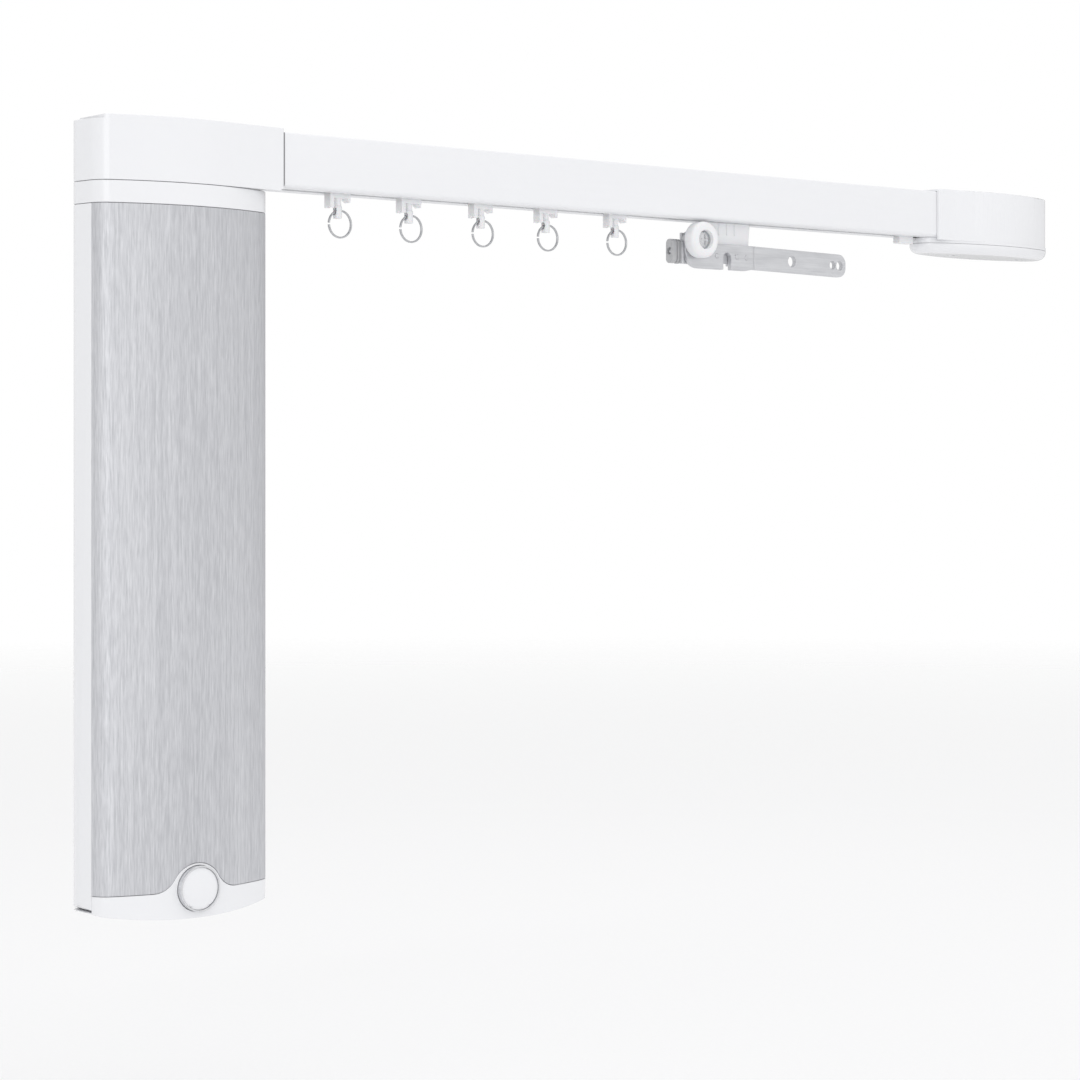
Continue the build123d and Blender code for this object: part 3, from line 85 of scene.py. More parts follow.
def makeCamera(settings):
    data = bpy.data.cameras.new("trackCamera")
    data.lens = settings["lensMm"]
    data.sensor_width = settings["sensorMm"]
    data.shift_y = settings["shiftY"]
    data.clip_start = settings["clipNear"]
    data.clip_end = settings["clipFar"]
    camera = bpy.data.objects.new("trackCamera", data)
    turn = math.radians(settings["turnDegrees"])
    ahead = Vector((math.sin(turn), math.cos(turn), 0))
    camera.location = settings["place"]
    camera.rotation_euler = ahead.to_track_quat("-Z", "Y").to_euler()
    scene.collection.objects.link(camera)
    scene.camera = camera


makeCamera(cameraSettings)
print("camera placed")


# helpers for shader trees

def addNode(tree, kind, inputs=None, **fields):
    node = tree.nodes.new(kind)
    for field, value in fields.items():
        setattr(node, field, value)
    for name, value in (inputs or {}).items():
        if isinstance(value, bpy.types.NodeSocket):
            tree.links.new(value, node.inputs[name])
        else:
            node.inputs[name].default_value = value
    return node


def stretchedNoise(tree, place, scale, detail=3.0, roughness=0.55):
    mapping = addNode(tree, "ShaderNodeMapping", {"Vector": place, "Scale": scale})
    noise = addNode(tree, "ShaderNodeTexNoise", {"Vector": mapping.outputs["Vector"], "Scale": 1.0,
                                                 "Detail": detail, "Roughness": roughness})
    return noise.outputs["Fac"]


def spread(tree, value, low, high, fromLow=0.3, fromHigh=0.7):
    node = addNode(tree, "ShaderNodeMapRange", {"Value": value, "From Min": fromLow, "From Max": fromHigh,
                                                "To Min": low, "To Max": high})
    return node.outputs["Result"]


def blendColours(tree, factor, first, second):
    # The colour sockets of a Mix node share their names with others, so they are found by number.
    factorSocket, firstSocket, secondSocket, resultSocket = 0, 6, 7, 2
    node = addNode(tree, "ShaderNodeMix", data_type="RGBA")
    tree.links.new(factor, node.inputs[factorSocket])
    for socket, value in ((node.inputs[firstSocket], first), (node.inputs[secondSocket], second)):
        if isinstance(value, bpy.types.NodeSocket):
            tree.links.new(value, socket)
        else:
            socket.default_value = (*value, 1)
    return node.outputs[resultSocket]


def addUp(tree, *values):
    total = values[0]
    for value in values[1:]:
        total = addNode(tree, "ShaderNodeMath", operation="ADD", inputs={0: total, 1: value}).outputs[0]
    return total


# Each finish: two tones mixed by a cloud, a grain for the relief, and a spread of roughness.
# Cloud, grain, ripple and streaks are in features per metre along X, Y and Z.
finishSettings = {
    "moulded gloss white": {
        "light": (0.815, 0.82, 0.84), "dark": (0.79, 0.795, 0.818), "cloud": (9, 9, 6),
        "roughness": (0.17, 0.25), "grain": (1500, 1500, 1500), "relief": 0.05,
        "ripple": (110, 110, 110), "rippleRelief": 0.1, "coat": 0.35, "coatRoughness": 0.08,
    },
    "moulded satin white": {
        "light": (0.82, 0.825, 0.84), "dark": (0.765, 0.77, 0.785), "cloud": (40, 40, 40),
        "roughness": (0.36, 0.5), "grain": (3600, 3600, 3600), "relief": 0.16,
        "ripple": (300, 300, 300), "rippleRelief": 0.08, "scatter": 0.06,
    },
    "satin coated track": {
        "light": (0.82, 0.825, 0.845), "dark": (0.795, 0.8, 0.822), "cloud": (5, 30, 30),
        "roughness": (0.27, 0.38), "grain": (2600, 2600, 2600), "relief": 0.09,
        "ripple": (26, 320, 320), "rippleRelief": 0.1, "coat": 0.15, "coatRoughness": 0.2,
        # painted shadow: the track's colour is darkened in a thin band beside the sleeve's end, where the
        # sleeve's shade falls
        "paintedSleeveShadow": {"edge": -0.189, "width": 0.0012, "darkShare": 0.6, "shade": (0.12, 0.12, 0.13)},
    },
    "brushed panel": {
        "light": (0.72, 0.725, 0.75), "dark": (0.52, 0.525, 0.55), "cloud": (16, 16, 1.2),
        "roughness": (0.46, 0.6), "metallic": 0.85, "anisotropy": 0.3,
        "streaks": ((2000, 2000, 130), (1200, 1200, 14), (420, 420, 3)), "weights": (0.65, 0.36, 0.1),
        "relief": 0.09,
    },
    "polished trim": {
        "light": (0.72, 0.725, 0.74), "dark": (0.6, 0.605, 0.62), "cloud": (300, 300, 300),
        "roughness": (0.1, 0.2), "metallic": 1.0, "grain": (5200, 5200, 5200), "relief": 0.05,
    },
    "grey stamped metal": {
        "light": (0.66, 0.665, 0.685), "dark": (0.52, 0.525, 0.545), "cloud": (70, 70, 260),
        "roughness": (0.34, 0.5), "metallic": 0.55, "grain": (4200, 4200, 4200), "relief": 0.2,
        "streaks": ((60, 1500, 1500), (18, 700, 700)),
    },
    "grey buffer": {
        "light": (0.5, 0.503, 0.515), "dark": (0.36, 0.363, 0.375), "cloud": (260, 260, 260),
        "roughness": (0.42, 0.6), "metallic": 0.25, "grain": (3400, 3400, 3400), "relief": 0.22,
    },
    "zinc steel": {
        "light": (0.66, 0.665, 0.68), "dark": (0.47, 0.475, 0.49), "cloud": (420, 420, 420),
        "roughness": (0.2, 0.36), "metallic": 1.0, "grain": (3800, 3800, 3800), "relief": 0.12,
        "streaks": ((2600, 2600, 240),),
    },
    "drawn wire": {
        "light": (0.56, 0.565, 0.58), "dark": (0.3, 0.305, 0.32), "cloud": (700, 700, 700),
        "roughness": (0.14, 0.28), "metallic": 1.0, "grain": (5200, 5200, 5200), "relief": 0.1,
    },
    "matt black plastic": {
        "light": (0.05, 0.05, 0.054), "dark": (0.022, 0.022, 0.025), "cloud": (120, 120, 120),
        "roughness": (0.42, 0.62), "grain": (3000, 3000, 3000), "relief": 0.3,
    },
    "plain brass": {
        "light": (0.8, 0.62, 0.32), "dark": (0.58, 0.4, 0.17), "cloud": (260, 260, 260),
        "roughness": (0.2, 0.36), "metallic": 1.0, "grain": (3600, 3600, 3600), "relief": 0.1,
    },
    "black belt rubber": {
        "light": (0.035, 0.035, 0.037), "dark": (0.015, 0.015, 0.016), "cloud": (60, 240, 240),
        "roughness": (0.6, 0.82), "grain": (1900, 1900, 1900), "relief": 0.4,
        "streaks": ((14, 900, 900),),
    },
    "green board": {
        "light": (0.02, 0.16, 0.07), "dark": (0.012, 0.09, 0.045), "cloud": (420, 420, 160),
        "roughness": (0.3, 0.45), "grain": (1600, 1600, 1600), "relief": 0.2, "coat": 0.3,
        "coatRoughness": 0.2,
    },
    "sintered core": {
        "light": (0.16, 0.16, 0.17), "dark": (0.07, 0.07, 0.078), "cloud": (520, 520, 520),
        "roughness": (0.55, 0.78), "metallic": 0.3, "grain": (2600, 2600, 2600), "relief": 0.5,
    },
    "can sleeve": {
        "light": (0.05, 0.06, 0.095), "dark": (0.024, 0.028, 0.05), "cloud": (200, 200, 200),
        "roughness": (0.26, 0.42), "grain": (2100, 2100, 2100), "relief": 0.15,
    },
    "relay case": {
        "light": (0.09, 0.1, 0.125), "dark": (0.05, 0.056, 0.07), "cloud": (160, 160, 160),
        "roughness": (0.38, 0.56), "grain": (3200, 3200, 3200), "relief": 0.25,
    },
    "frosted lens": {
        "light": (0.78, 0.86, 0.82), "dark": (0.66, 0.76, 0.71), "cloud": (900, 900, 900),
        "roughness": (0.2, 0.34), "grain": (4200, 4200, 4200), "relief": 0.12, "scatter": 0.2,
    },
}


# what all finishes share: detail of the noises, mixing of the tones, and depths in metres
finishCommon = {
    "weights": (0.38, 0.32, 0.26),
    "cloudDetail": 3.0,
    "cloudMost": 0.5,
    "streakDetail": 4.0,
    "streakRoughness": 0.6,
    "streakLeast": -0.1,
    "streakFrom": 0.28,
    "streakTo": 0.72,
    "grainDetail": 2.0,
    "grainDepth": 0.0001,
    "rippleDetail": 1.0,
    "rippleDepth": 0.0006,
    "coatRoughness": 0.1,
    "scatterReach": 0.002,
}


def makeFinish(name, settings, common):
    material = bpy.data.materials.new(name.replace(" ", "_"))
    material.use_nodes = True
    tree = material.node_tree
    shader = tree.nodes["Principled BSDF"]
    place = addNode(tree, "ShaderNodeTexCoord").outputs["Object"]
    cloud = stretchedNoise(tree, place, settings["cloud"], common["cloudDetail"])
    tone = spread(tree, cloud, 0.0, common["cloudMost"])
    relief = []
    for scale, weight in zip(settings.get("streaks", ()), settings.get("weights", common["weights"])):
        streak = stretchedNoise(tree, place, scale, common["streakDetail"], common["streakRoughness"])
        share = spread(tree, streak, common["streakLeast"], weight, common["streakFrom"], common["streakTo"])
        tone = addUp(tree, tone, share)
        relief.append(streak)
    if "grain" in settings:
        relief.append(stretchedNoise(tree, place, settings["grain"], common["grainDetail"]))
    colour = blendColours(tree, tone, settings["light"], settings["dark"])
    if "paintedSleeveShadow" in settings:  # painted shadow: a thin dark band on the track where the sleeve ends, standing in for the sleeve's shade
        paintedSleeveShadow = settings["paintedSleeveShadow"]
        along = addNode(tree, "ShaderNodeSeparateXYZ", {"Vector": place}).outputs["X"]
        darkEnd = paintedSleeveShadow["edge"] + paintedSleeveShadow["width"] * paintedSleeveShadow["darkShare"]
        clear = spread(tree, along, 0.0, 1.0, darkEnd, paintedSleeveShadow["edge"] + paintedSleeveShadow["width"])
        colour = blendColours(tree, clear, paintedSleeveShadow["shade"], colour)
    tree.links.new(colour, shader.inputs["Base Color"])
    roughness = spread(tree, relief[0] if "streaks" in settings else cloud, *settings["roughness"])
    tree.links.new(roughness, shader.inputs["Roughness"])
    bump = addNode(tree, "ShaderNodeBump", {"Height": addUp(tree, *relief), "Strength": settings["relief"],
                                            "Distance": common["grainDepth"]})
    if "ripple" in settings:
        wave = stretchedNoise(tree, place, settings["ripple"], common["rippleDetail"])
        bump = addNode(tree, "ShaderNodeBump", {"Height": wave, "Strength": settings["rippleRelief"],
                                                "Distance": common["rippleDepth"],
                                                "Normal": bump.outputs["Normal"]})
    tree.links.new(bump.outputs["Normal"], shader.inputs["Normal"])
    shader.inputs["Metallic"].default_value = settings.get("metallic", 0.0)
    shader.inputs["Coat Weight"].default_value = settings.get("coat", 0.0)
    shader.inputs["Coat Roughness"].default_value = settings.get("coatRoughness", common["coatRoughness"])
    shader.inputs["Anisotropic"].default_value = settings.get("anisotropy", 0.0)
    shader.inputs["Subsurface Weight"].default_value = settings.get("scatter", 0.0)
    shader.inputs["Subsurface Scale"].default_value = common["scatterReach"]
    return material


finishes = {name: makeFinish(name, settings, finishCommon) for name, settings in finishSettings.items()}
slotFinish = {
    "coated_track": "satin coated track",
    "gloss_white": "moulded gloss white",
    "panel_metal": "brushed panel",
    "trim_metal": "polished trim",
    "satin_white": "moulded satin white",
    "arm_metal": "grey stamped metal",
    "buffer_grey": "grey buffer",
    "steel": "zinc steel",
    "dark_plastic": "matt black plastic",
    "brass": "plain brass",
    "belt_rubber": "black belt rubber",
    "board_green": "green board",
    "core_dark": "sintered core",
    "can_sleeve": "can sleeve",
    "relay_grey": "relay case",
    "light_lens": "frosted lens",
}


def dressNodes():
    for name, node in frame["nodes"].items():
        finish = finishes[slotFinish[nodeSlot[name]]]
        if not node.data.materials:
            node.data.materials.append(finish)
        for slot in node.material_slots:
            slot.material = finish


dressNodes()
print("finishes made")


# moulded, coated and stamped pieces: the CAD forms with eased edges

# upright axes of the gently curved sides, in millimetres
motorAxes = [(-231.5, 69.96)]
endAxes = [(228.75, 104.28), (228.75, -104.28)]
plateAxes = [(230.45, 96.07), (230.45, -96.07)]
softSettings = {
    "head_housing": {"easeMm": 0.3, "steps": 3, "axes": motorAxes},
    "head_cover": {"easeMm": 0.22, "steps": 2, "axes": motorAxes},
    "motor_collar": {"easeMm": 0.3, "steps": 3, "axes": motorAxes},
    "rear_casing": {"easeMm": 0.25, "steps": 3},
    "bottom_cap": {"easeMm": 0.2, "steps": 3},
    "front_panel": {"easeMm": 0.12, "steps": 2},
    "badge_disc": {"easeMm": 0.25, "steps": 3},
    "badge_ring": {"easeMm": 0.1, "steps": 2},
    "release_latch": {"easeMm": 0.12, "steps": 2},
    "track_profile": {"easeMm": 0.3, "steps": 3},
    "end_housing": {"easeMm": 0.045, "steps": 2, "angle": 62, "axes": endAxes + plateAxes},
    "end_lower_cover": {"easeMm": 0.2, "steps": 3, "axes": plateAxes},
    "end_stop": {"easeMm": 0.3, "steps": 3},
    "carrier_body": {"easeMm": 0.3, "steps": 3},
    "overlap_arm": {"easeMm": 0.25, "steps": 3},
    "guide_roller": {"easeMm": 0.2, "steps": 2},
    "buffer": {"easeMm": 0.12, "steps": 2},
    "buffer_bracket": {"easeMm": 0.2, "steps": 2},
    "programming_button": {"easeMm": 0.15, "steps": 2},
}
softSettings.update({f"glider_{i}": {"easeMm": 0.16, "steps": 2} for i in range(1, gliderCount + 1)})

# lengths in metres, areas in square metres
shapingSettings = {
    "weldGap": 2e-6,
    "mergeDegrees": 0.6,
    "bevelDegrees": 38,
    "sharpDegrees": 32,
}
flatSettings = {
    "bendDegrees": 4,
    "largeArea": 2e-6,
    "narrowWidth": 0.0002,
    "leastLength": 1e-7,
}
roundSettings = {
    "levelGap": 2e-6,
    "reachGap": 4e-6,
    "longEdge": 0.0025,
    "leastReach": 0.05,
    "cuts": 4,
    "heightGap": 3e-6,
    "inwardGap": 1e-7,
    "outwardGap": 4e-4,
}


def keepFlat(mesh, settings):
    # Keeps the shading of a large face flat beside its narrow eased edges.
    work = bmesh.new()
    work.from_mesh(mesh)
    for edge in work.edges:
        if len(edge.link_faces) == 2 and edge.calc_face_angle() > math.radians(settings["bendDegrees"]):
            small, large = sorted(edge.link_faces, key=lambda face: face.calc_area())
            longest = max(settings["leastLength"], *(side.calc_length() for side in small.edges))
            narrow = small.calc_area() / longest < settings["narrowWidth"]
            if narrow and large.calc_area() > settings["largeArea"]:
                edge.smooth = False
    work.to_mesh(mesh)
    work.free()


def settle(piece, material=None):
    # Applies what the modifiers give as a plain mesh, and shades it.
    graph = bpy.context.evaluated_depsgraph_get()
    mesh = bpy.data.meshes.new_from_object(piece.evaluated_get(graph))
    piece.modifiers.clear()
    piece.data = mesh
    if material:
        mesh.materials.clear()
        mesh.materials.append(material)
    mesh.shade_smooth()
    mesh.set_sharp_from_angle(angle=math.radians(shapingSettings["sharpDegrees"]))
    keepFlat(mesh, flatSettings)


def carry(piece, nodeName):
    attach(piece, nodeBody[nodeName])
    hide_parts(nodeName)


def roundSides(work, axes, settings):
    # Splits the long flat facets of sides that curve round an upright axis, and puts them on the curve.
    for axisXMm, axisYMm in axes:
        axisX, axisY = axisXMm / perMetre, axisYMm / perMetre

        def reach(vert):
            return math.hypot(vert.co.x - axisX, vert.co.y - axisY)

        along, circles = [], []
        for edge in work.edges:
            first, last = edge.verts
            level = abs(first.co.z - last.co.z) < settings["levelGap"]
            curved = abs(reach(first) - reach(last)) < settings["reachGap"]
            far = reach(first) > settings["leastReach"]
            if level and curved and far and edge.calc_length() > settings["longEdge"]:
                along.append(edge)
                circles.append((first.co.z, reach(first)))
        cut = bmesh.ops.subdivide_edges(work, edges=along, cuts=settings["cuts"], use_grid_fill=True)
        for vert in cut["geom_inner"]:
            if isinstance(vert, bmesh.types.BMVert):
                now = reach(vert)
                inner, outer = now - settings["inwardGap"], now + settings["outwardGap"]
                fits = [radius for z, radius in circles
                        if abs(z - vert.co.z) < settings["heightGap"] and inner <= radius < outer]
                if fits:
                    grow = min(fits) / now
                    vert.co.x = axisX + (vert.co.x - axisX) * grow
                    vert.co.y = axisY + (vert.co.y - axisY) * grow


def softPiece(nodeName, settings):
    mesh = frame["nodes"][nodeName].data.copy()
    work = bmesh.new()
    work.from_mesh(mesh)
    bmesh.ops.remove_doubles(work, verts=work.verts, dist=shapingSettings["weldGap"])
    merge = math.radians(shapingSettings["mergeDegrees"])
    bmesh.ops.dissolve_limit(work, angle_limit=merge, verts=work.verts, edges=work.edges)
    roundSides(work, settings.get("axes", ()), roundSettings)
    work.to_mesh(mesh)
    work.free()
    mesh.update()
    piece = bpy.data.objects.new("soft_" + nodeName, mesh)
    scene.collection.objects.link(piece)
    ease = piece.modifiers.new("ease", "BEVEL")
    ease.width = settings["easeMm"] / perMetre
    ease.segments = settings["steps"]
    ease.limit_method = "ANGLE"
    ease.angle_limit = math.radians(settings.get("angle", shapingSettings["bevelDegrees"]))
    ease.use_clamp_overlap = False
    settle(piece, finishes[slotFinish[nodeSlot[nodeName]]])
    low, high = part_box(nodeName)
    for point in piece.data.vertices:  # a stray corner never leaves the CAD box
        point.co = [min(max(point.co[i], low[i]), high[i]) for i in range(3)]
    carry(piece, nodeName)


for nodeName, settings in softSettings.items():
    softPiece(nodeName, settings)
print("eased pieces made:", len(softSettings))


# helpers for geometry trees

def geometryTree(name, sizes):
    tree = bpy.data.node_groups.new(name, "GeometryNodeTree")
    tree.interface.new_socket("Geometry", in_out="INPUT", socket_type="NodeSocketGeometry")
    for size, kind in sizes.items():
        tree.interface.new_socket(size, in_out="INPUT", socket_type="NodeSocket" + kind)
    tree.interface.new_socket("Geometry", in_out="OUTPUT", socket_type="NodeSocketGeometry")
    given = tree.nodes.new("NodeGroupInput").outputs
    return tree, given


def closeTree(tree, given, shape):
    whole = addNode(tree, "GeometryNodeRealizeInstances", {"Geometry": shape})
    dressed = addNode(tree, "GeometryNodeSetMaterial", {
        "Geometry": whole.outputs[0], "Material": given["Finish"]})
    tree.links.new(dressed.outputs[0], tree.nodes.new("NodeGroupOutput").inputs["Geometry"])


def maths(tree, operation, first, second):
    return addNode(tree, "ShaderNodeMath", {0: first, 1: second}, operation=operation).outputs[0]


def vectorOf(tree, x=0.0, y=0.0, z=0.0):
    return addNode(tree, "ShaderNodeCombineXYZ", {"X": x, "Y": y, "Z": z}).outputs[0]


def shifted(tree, shape, translation, rotation=None):
    inputs = {"Geometry": shape, "Translation": translation}
    if rotation is not None:
        inputs["Rotation"] = rotation
    return addNode(tree, "GeometryNodeTransform", inputs).outputs[0]


def joined(tree, *shapes):
    node = tree.nodes.new("GeometryNodeJoinGeometry")
    for shape in shapes:
        tree.links.new(shape, node.inputs[0])
    return node.outputs[0]


def grown(name, tree, values, points=((0, 0, 0),)):
    # Runs a tree on the given points and keeps its plain mesh.
    mesh = bpy.data.meshes.new(name)
    mesh.from_pydata([tuple(point) for point in points], [], [])
    piece = bpy.data.objects.new(name, mesh)
    scene.collection.objects.link(piece)
    modifier = piece.modifiers.new("grow", "NODES")
    modifier.node_group = tree
    for item in tree.interface.items_tree:
        if item.in_out == "INPUT" and item.name in values:
            modifier[item.identifier] = values[item.name]
    settle(piece)
    return piece


# split rings of two turns of drawn wire, hung in the gliders' eyes

ringSettings = {
    "strandRadius": 0.00036,
    "strandShift": 0.00024,
    "gapDegrees": 3.5,
    "steps": 96,
    "wireSides": 20,
}


def makeRingTree():
    tree, given = geometryTree("splitRing", {
        "Ring Radius": "Float", "Wire Radius": "Float", "Gap": "Float", "Strand Shift": "Float",
        "Steps": "Int", "Sides": "Int", "Centre": "Vector", "Finish": "Material"})
    start = maths(tree, "ADD", given["Gap"], -math.pi)
    sweep = maths(tree, "SUBTRACT", 2 * math.pi, maths(tree, "MULTIPLY", given["Gap"], 2.0))
    arc = addNode(tree, "GeometryNodeCurveArc", {
        "Resolution": given["Steps"], "Radius": given["Ring Radius"], "Start Angle": start,
        "Sweep Angle": sweep}, mode="RADIUS")
    section = addNode(tree, "GeometryNodeCurvePrimitiveCircle", {
        "Resolution": given["Sides"], "Radius": given["Wire Radius"]}, mode="RADIUS")
    wire = addNode(tree, "GeometryNodeCurveToMesh", {
        "Curve": arc.outputs["Curve"], "Profile Curve": section.outputs["Curve"], "Fill Caps": True})
    sides = (given["Strand Shift"], maths(tree, "MULTIPLY", given["Strand Shift"], -1.0))
    pair = joined(tree, *[shifted(tree, wire.outputs[0], vectorOf(tree, z=side)) for side in sides])
    hung = shifted(tree, pair, given["Centre"], (math.pi / 2, 0, 0))
    closeTree(tree, given, hung)
    return tree


def makeRings(settings):
    tree = makeRingTree()
    for i in range(1, gliderCount + 1):
        low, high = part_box(f"ring_{i}")
        radius = (high[2] - low[2]) / 2 - settings["strandRadius"]
        centre = (high[0] - radius - settings["strandRadius"], 0, (high[2] + low[2]) / 2)
        ring = grown(f"split_ring_{i}", tree, {
            "Ring Radius": radius, "Wire Radius": settings["strandRadius"],
            "Gap": math.radians(settings["gapDegrees"]), "Strand Shift": settings["strandShift"],
            "Steps": settings["steps"], "Sides": settings["wireSides"], "Centre": centre,
            "Finish": finishes["drawn wire"]})
        carry(ring, f"ring_{i}")


makeRings(ringSettings)
print("rings made")


# cross-head screws with a crowned head and a threaded shank, sizes in millimetres

screwSettings = {
    "casing_screws": {"aim": (0, -1, 0), "headRadius": 2.2, "headHeight": 1.4, "shank": 1.2, "pitch": 0.9},
    "head_screws": {"aim": (0, 0, 1), "headRadius": 1.5, "headHeight": 0.7, "shank": 0.8, "pitch": 0.6},
    "end_screws": {"aim": (0, 0, -1), "headRadius": 2.2, "headHeight": 1.35, "shank": 1.2, "pitch": 0.9},
    "roller_screw": {"aim": (0, -1, 0), "headRadius": 3.8, "headHeight": 1.6, "shank": 1.6, "pitch": 0.8},
    "buffer_screw": {"aim": (-1, 0, 0), "headRadius": 1.4, "headHeight": 0.8, "shank": 0.9, "pitch": 0.6},
}


# shares of the head's radius and height, and of the shank's radius and length
screwShares = {
    "crownPower": 3.0,
    "crownFall": -0.42,
    "topFrom": 0.9,
    "slotLength": 1.25,
    "slotWidth": 0.26,
    "coreRadius": 0.84,
    "threadLength": 0.8,
    "threadRadius": 0.86,
    "ridgeRadius": 0.14,
    "threadFoot": -0.97,
}
screwCounts = {"headSides": 48, "headRings": 5, "coreSides": 24, "threadSteps": 20, "ridgeSides": 4}
lengthDigits = 5  # lengths that agree to a hundredth of a millimetre share one mesh


def makeScrewTree(shares, counts):
    tree, given = geometryTree("crossScrew", {
        "Head Radius": "Float", "Head Height": "Float", "Shank": "Float", "Length": "Float",
        "Pitch": "Float", "Turn": "Vector", "Finish": "Material"})
    height = given["Head Height"]
    head = addNode(tree, "GeometryNodeMeshCylinder", {
        "Vertices": counts["headSides"], "Side Segments": 1, "Fill Segments": counts["headRings"],
        "Radius": given["Head Radius"], "Depth": height})
    lifted = shifted(tree, head.outputs["Mesh"], vectorOf(tree, z=maths(tree, "MULTIPLY", height, 0.5)))
    place = addNode(tree, "GeometryNodeInputPosition").outputs[0]
    parts = addNode(tree, "ShaderNodeSeparateXYZ", {0: place}).outputs
    level = vectorOf(tree, parts["X"], parts["Y"])
    out = addNode(tree, "ShaderNodeVectorMath", {0: level}, operation="LENGTH")
    share = maths(tree, "DIVIDE", out.outputs["Value"], given["Head Radius"])
    fall = maths(tree, "MULTIPLY", maths(tree, "POWER", share, shares["crownPower"]),
                 maths(tree, "MULTIPLY", height, shares["crownFall"]))
    onTop = maths(tree, "GREATER_THAN", parts["Z"], maths(tree, "MULTIPLY", height, shares["topFrom"]))
    drop = vectorOf(tree, z=maths(tree, "MULTIPLY", fall, onTop))
    domed = addNode(tree, "GeometryNodeSetPosition", {"Geometry": lifted, "Offset": drop})
    long = maths(tree, "MULTIPLY", given["Head Radius"], shares["slotLength"])
    wide = maths(tree, "MULTIPLY", given["Head Radius"], shares["slotWidth"])
    slots = []
    for x, y in ((long, wide), (wide, long)):
        bar = addNode(tree, "GeometryNodeMeshCube", {"Size": vectorOf(tree, x, y, height)})
        slots.append(shifted(tree, bar.outputs["Mesh"], vectorOf(tree, z=height)))
    cut = addNode(tree, "GeometryNodeMeshBoolean", operation="DIFFERENCE", solver="EXACT")
    tree.links.new(domed.outputs[0], cut.inputs["Mesh 1"])
    for slot in slots:
        tree.links.new(slot, cut.inputs["Mesh 2"])
    length = given["Length"]
    coreRadius = maths(tree, "MULTIPLY", given["Shank"], shares["coreRadius"])
    core = addNode(tree, "GeometryNodeMeshCylinder", {
        "Vertices": counts["coreSides"], "Radius": coreRadius, "Depth": length})
    down = maths(tree, "MULTIPLY", length, -0.5)
    shank = shifted(tree, core.outputs["Mesh"], vectorOf(tree, z=down))
    threaded = maths(tree, "MULTIPLY", length, shares["threadLength"])
    radius = maths(tree, "MULTIPLY", given["Shank"], shares["threadRadius"])
    helix = addNode(tree, "GeometryNodeCurveSpiral", {
        "Resolution": counts["threadSteps"], "Height": threaded, "Start Radius": radius,
        "End Radius": radius, "Rotations": maths(tree, "DIVIDE", threaded, given["Pitch"])})
    ridgeRadius = maths(tree, "MULTIPLY", given["Shank"], shares["ridgeRadius"])
    ridge = addNode(tree, "GeometryNodeCurvePrimitiveCircle",
                    {"Resolution": counts["ridgeSides"], "Radius": ridgeRadius}, mode="RADIUS")
    swept = addNode(tree, "GeometryNodeCurveToMesh", {
        "Curve": helix.outputs["Curve"], "Profile Curve": ridge.outputs["Curve"], "Fill Caps": True})
    foot = vectorOf(tree, z=maths(tree, "MULTIPLY", length, shares["threadFoot"]))
    thread = shifted(tree, swept.outputs[0], foot)
    screw = joined(tree, cut.outputs["Mesh"], shank, thread)
    placed = addNode(tree, "GeometryNodeInstanceOnPoints", {"Points": given["Geometry"], "Instance": screw,
                                                            "Rotation": given["Turn"]})
    closeTree(tree, given, placed.outputs[0])
    return tree


def solidBoxes(nodeName):
    # The lowest and highest corner of each separate solid of a CAD node.
    work = bmesh.new()
    work.from_mesh(frame["nodes"][nodeName].data)
    bmesh.ops.remove_doubles(work, verts=work.verts, dist=shapingSettings["weldGap"])
    left = set(work.verts)
    boxes = []
    while left:
        reached = [left.pop()]
        for vert in reached:
            for edge in vert.link_edges:
                other = edge.other_vert(vert)
                if other in left:
                    left.discard(other)
                    reached.append(other)
        boxes.append([[pick(vert.co[i] for vert in reached) for i in range(3)] for pick in (min, max)])
    work.free()
    return sorted(boxes)


def makeScrews(nodeName, settings, tree):
    # Screws of one node differ in length, so each length is grown apart and the meshes are joined.
    aim = Vector(settings["aim"])
    axis = max(range(3), key=lambda i: abs(aim[i]))
    height = settings["headHeight"] / perMetre
    groups = {}
    for low, high in solidBoxes(nodeName):
        foot = [(low[i] + high[i]) / 2 for i in range(3)]
        foot[axis] = (high[axis] - height) if aim[axis] > 0 else (low[axis] + height)
        groups.setdefault(round(high[axis] - low[axis] - height, lengthDigits), []).append(foot)
    made = [grown(f"cross_{nodeName}_{i}", tree, {
        "Head Radius": settings["headRadius"] / perMetre, "Head Height": height,
        "Shank": settings["shank"] / perMetre, "Length": length, "Pitch": settings["pitch"] / perMetre,
        "Turn": tuple(aim.to_track_quat("Z", "Y").to_euler()),
        "Finish": finishes["zinc steel"]}, feet) for i, (length, feet) in enumerate(groups.items())]
    whole = bmesh.new()
    for piece in made:
        whole.from_mesh(piece.data)
    whole.to_mesh(made[0].data)
    whole.free()
    made[0].data.set_sharp_from_angle(angle=math.radians(shapingSettings["sharpDegrees"]))
    for piece in made[1:]:
        bpy.data.objects.remove(piece)
    made[0].name = "cross_" + nodeName
    carry(made[0], nodeName)


screwTree = makeScrewTree(screwShares, screwCounts)
for nodeName, settings in screwSettings.items():
    makeScrews(nodeName, settings, screwTree)
print("screws made")


# stage and light

floorSettings = {
    "gap": 0.09,
    "half": 3.0,
    "fadeFrom": 0.9,
    "fadeToShare": 0.97,
    "colour": (0.93, 0.93, 0.935),
    "darkerShare": 0.985,
    "speckle": (500, 500, 500),
    "roughness": 0.9,
}
skySettings = {
    "bright": 0.87,
    "dark": 0.5,
    "darkSide": (0.98, 0.2, 0.0),
    "darkFrom": 0.4,
    "darkTo": 0.98,
    "glow": 0.24,
    "glowSide": (0.5, -0.85, 0.15),
    "glowFrom": 0.2,
    "glowTo": 1.0,
    "seenStrength": 1.0,
}
lampSettings = {
    "keyBox": {"place": (-1.9, -1.9, 0.1), "aim": (-0.2, 0, -0.12), "size": (1.2, 1.3), "watts": 7.0},
    "topBox": {"place": (0.0, -0.2, 1.6), "aim": (0, -0.1, -0.3), "size": (2.5, 2.0), "watts": 9.0},
}


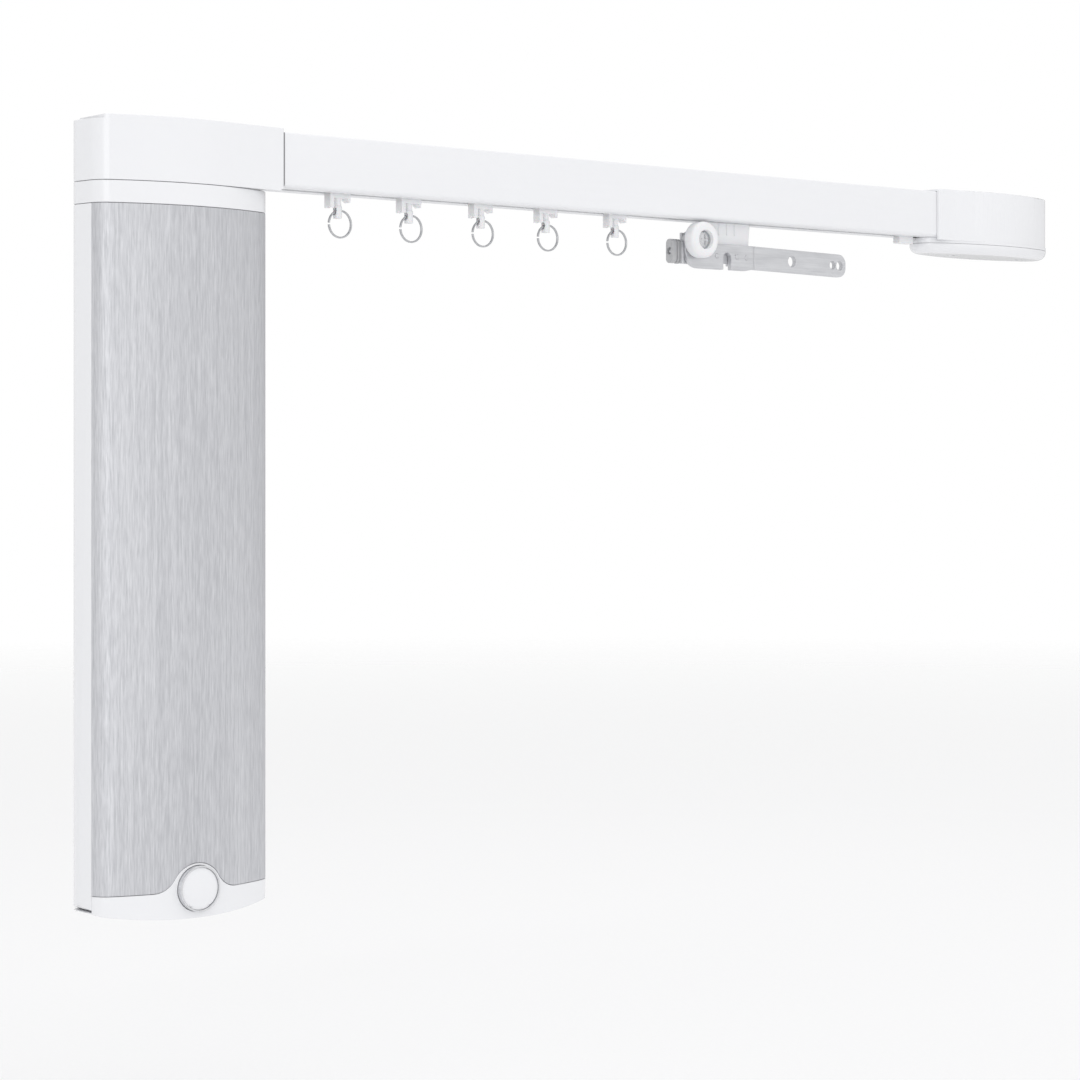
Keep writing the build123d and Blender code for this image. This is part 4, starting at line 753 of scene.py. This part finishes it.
def makeFloor(settings):
    mesh = bpy.data.meshes.new("floor")
    half, z = settings["half"], cadLow.z - settings["gap"]
    corners = [(-half, -half, z), (half, -half, z), (half, half, z), (-half, half, z)]
    mesh.from_pydata(corners, [], [(0, 1, 2, 3)])
    floor = bpy.data.objects.new("floor", mesh)
    scene.collection.objects.link(floor)
    material = bpy.data.materials.new("paleFloor")
    material.use_nodes = True
    tree = material.node_tree
    shader = tree.nodes["Principled BSDF"]
    shader.inputs["Roughness"].default_value = settings["roughness"]
    place = addNode(tree, "ShaderNodeTexCoord").outputs["Object"]
    speckle = spread(tree, stretchedNoise(tree, place, settings["speckle"]), 0.0, 1.0)
    darker = tuple(settings["darkerShare"] * part for part in settings["colour"])
    tree.links.new(blendColours(tree, speckle, settings["colour"], darker), shader.inputs["Base Color"])
    flat = addNode(tree, "ShaderNodeVectorMath", {0: place, 1: (1, 1, 0)}, operation="MULTIPLY")
    reach = addNode(tree, "ShaderNodeVectorMath", {0: flat.outputs[0]}, operation="LENGTH").outputs["Value"]
    fade = spread(tree, reach, 1.0, 0.0, settings["fadeFrom"], settings["half"] * settings["fadeToShare"])
    tree.links.new(fade, shader.inputs["Alpha"])
    mesh.materials.append(material)


def makeSky(settings):
    # White behind the object. What lights it is softer, darker from the right and brighter from the front.
    world = bpy.data.worlds.new("studio")
    world.use_nodes = True
    tree = world.node_tree
    background = tree.nodes["Background"]
    direction = addNode(tree, "ShaderNodeTexCoord").outputs["Generated"]

    def toward(side):
        return addNode(tree, "ShaderNodeVectorMath", {0: direction, 1: side},
                       operation="DOT_PRODUCT").outputs["Value"]

    base = spread(tree, toward(settings["darkSide"]), settings["bright"], settings["dark"],
                  settings["darkFrom"], settings["darkTo"])
    extra = spread(tree, toward(settings["glowSide"]), 0.0, settings["glow"],
                   settings["glowFrom"], settings["glowTo"])
    bright = addUp(tree, base, extra)
    seen = addNode(tree, "ShaderNodeLightPath").outputs["Is Camera Ray"]
    strength = addNode(tree, "ShaderNodeMix", data_type="FLOAT",
                       inputs={0: seen, 2: bright, 3: settings["seenStrength"]})
    tree.links.new(strength.outputs[0], background.inputs["Strength"])
    background.inputs["Color"].default_value = (1, 1, 1, 1)
    scene.world = world


def makeLamp(name, settings):
    light = bpy.data.lights.new(name, "AREA")
    light.shape = "RECTANGLE"
    light.size, light.size_y = settings["size"]
    light.energy = settings["watts"]
    lamp = bpy.data.objects.new(name, light)
    lamp.location = settings["place"]
    aim = Vector(settings["aim"]) - Vector(settings["place"])
    lamp.rotation_euler = aim.to_track_quat("-Z", "Y").to_euler()
    scene.collection.objects.link(lamp)


makeFloor(floorSettings)
makeSky(skySettings)
for lampName, settings in lampSettings.items():
    makeLamp(lampName, settings)
print("stage made")
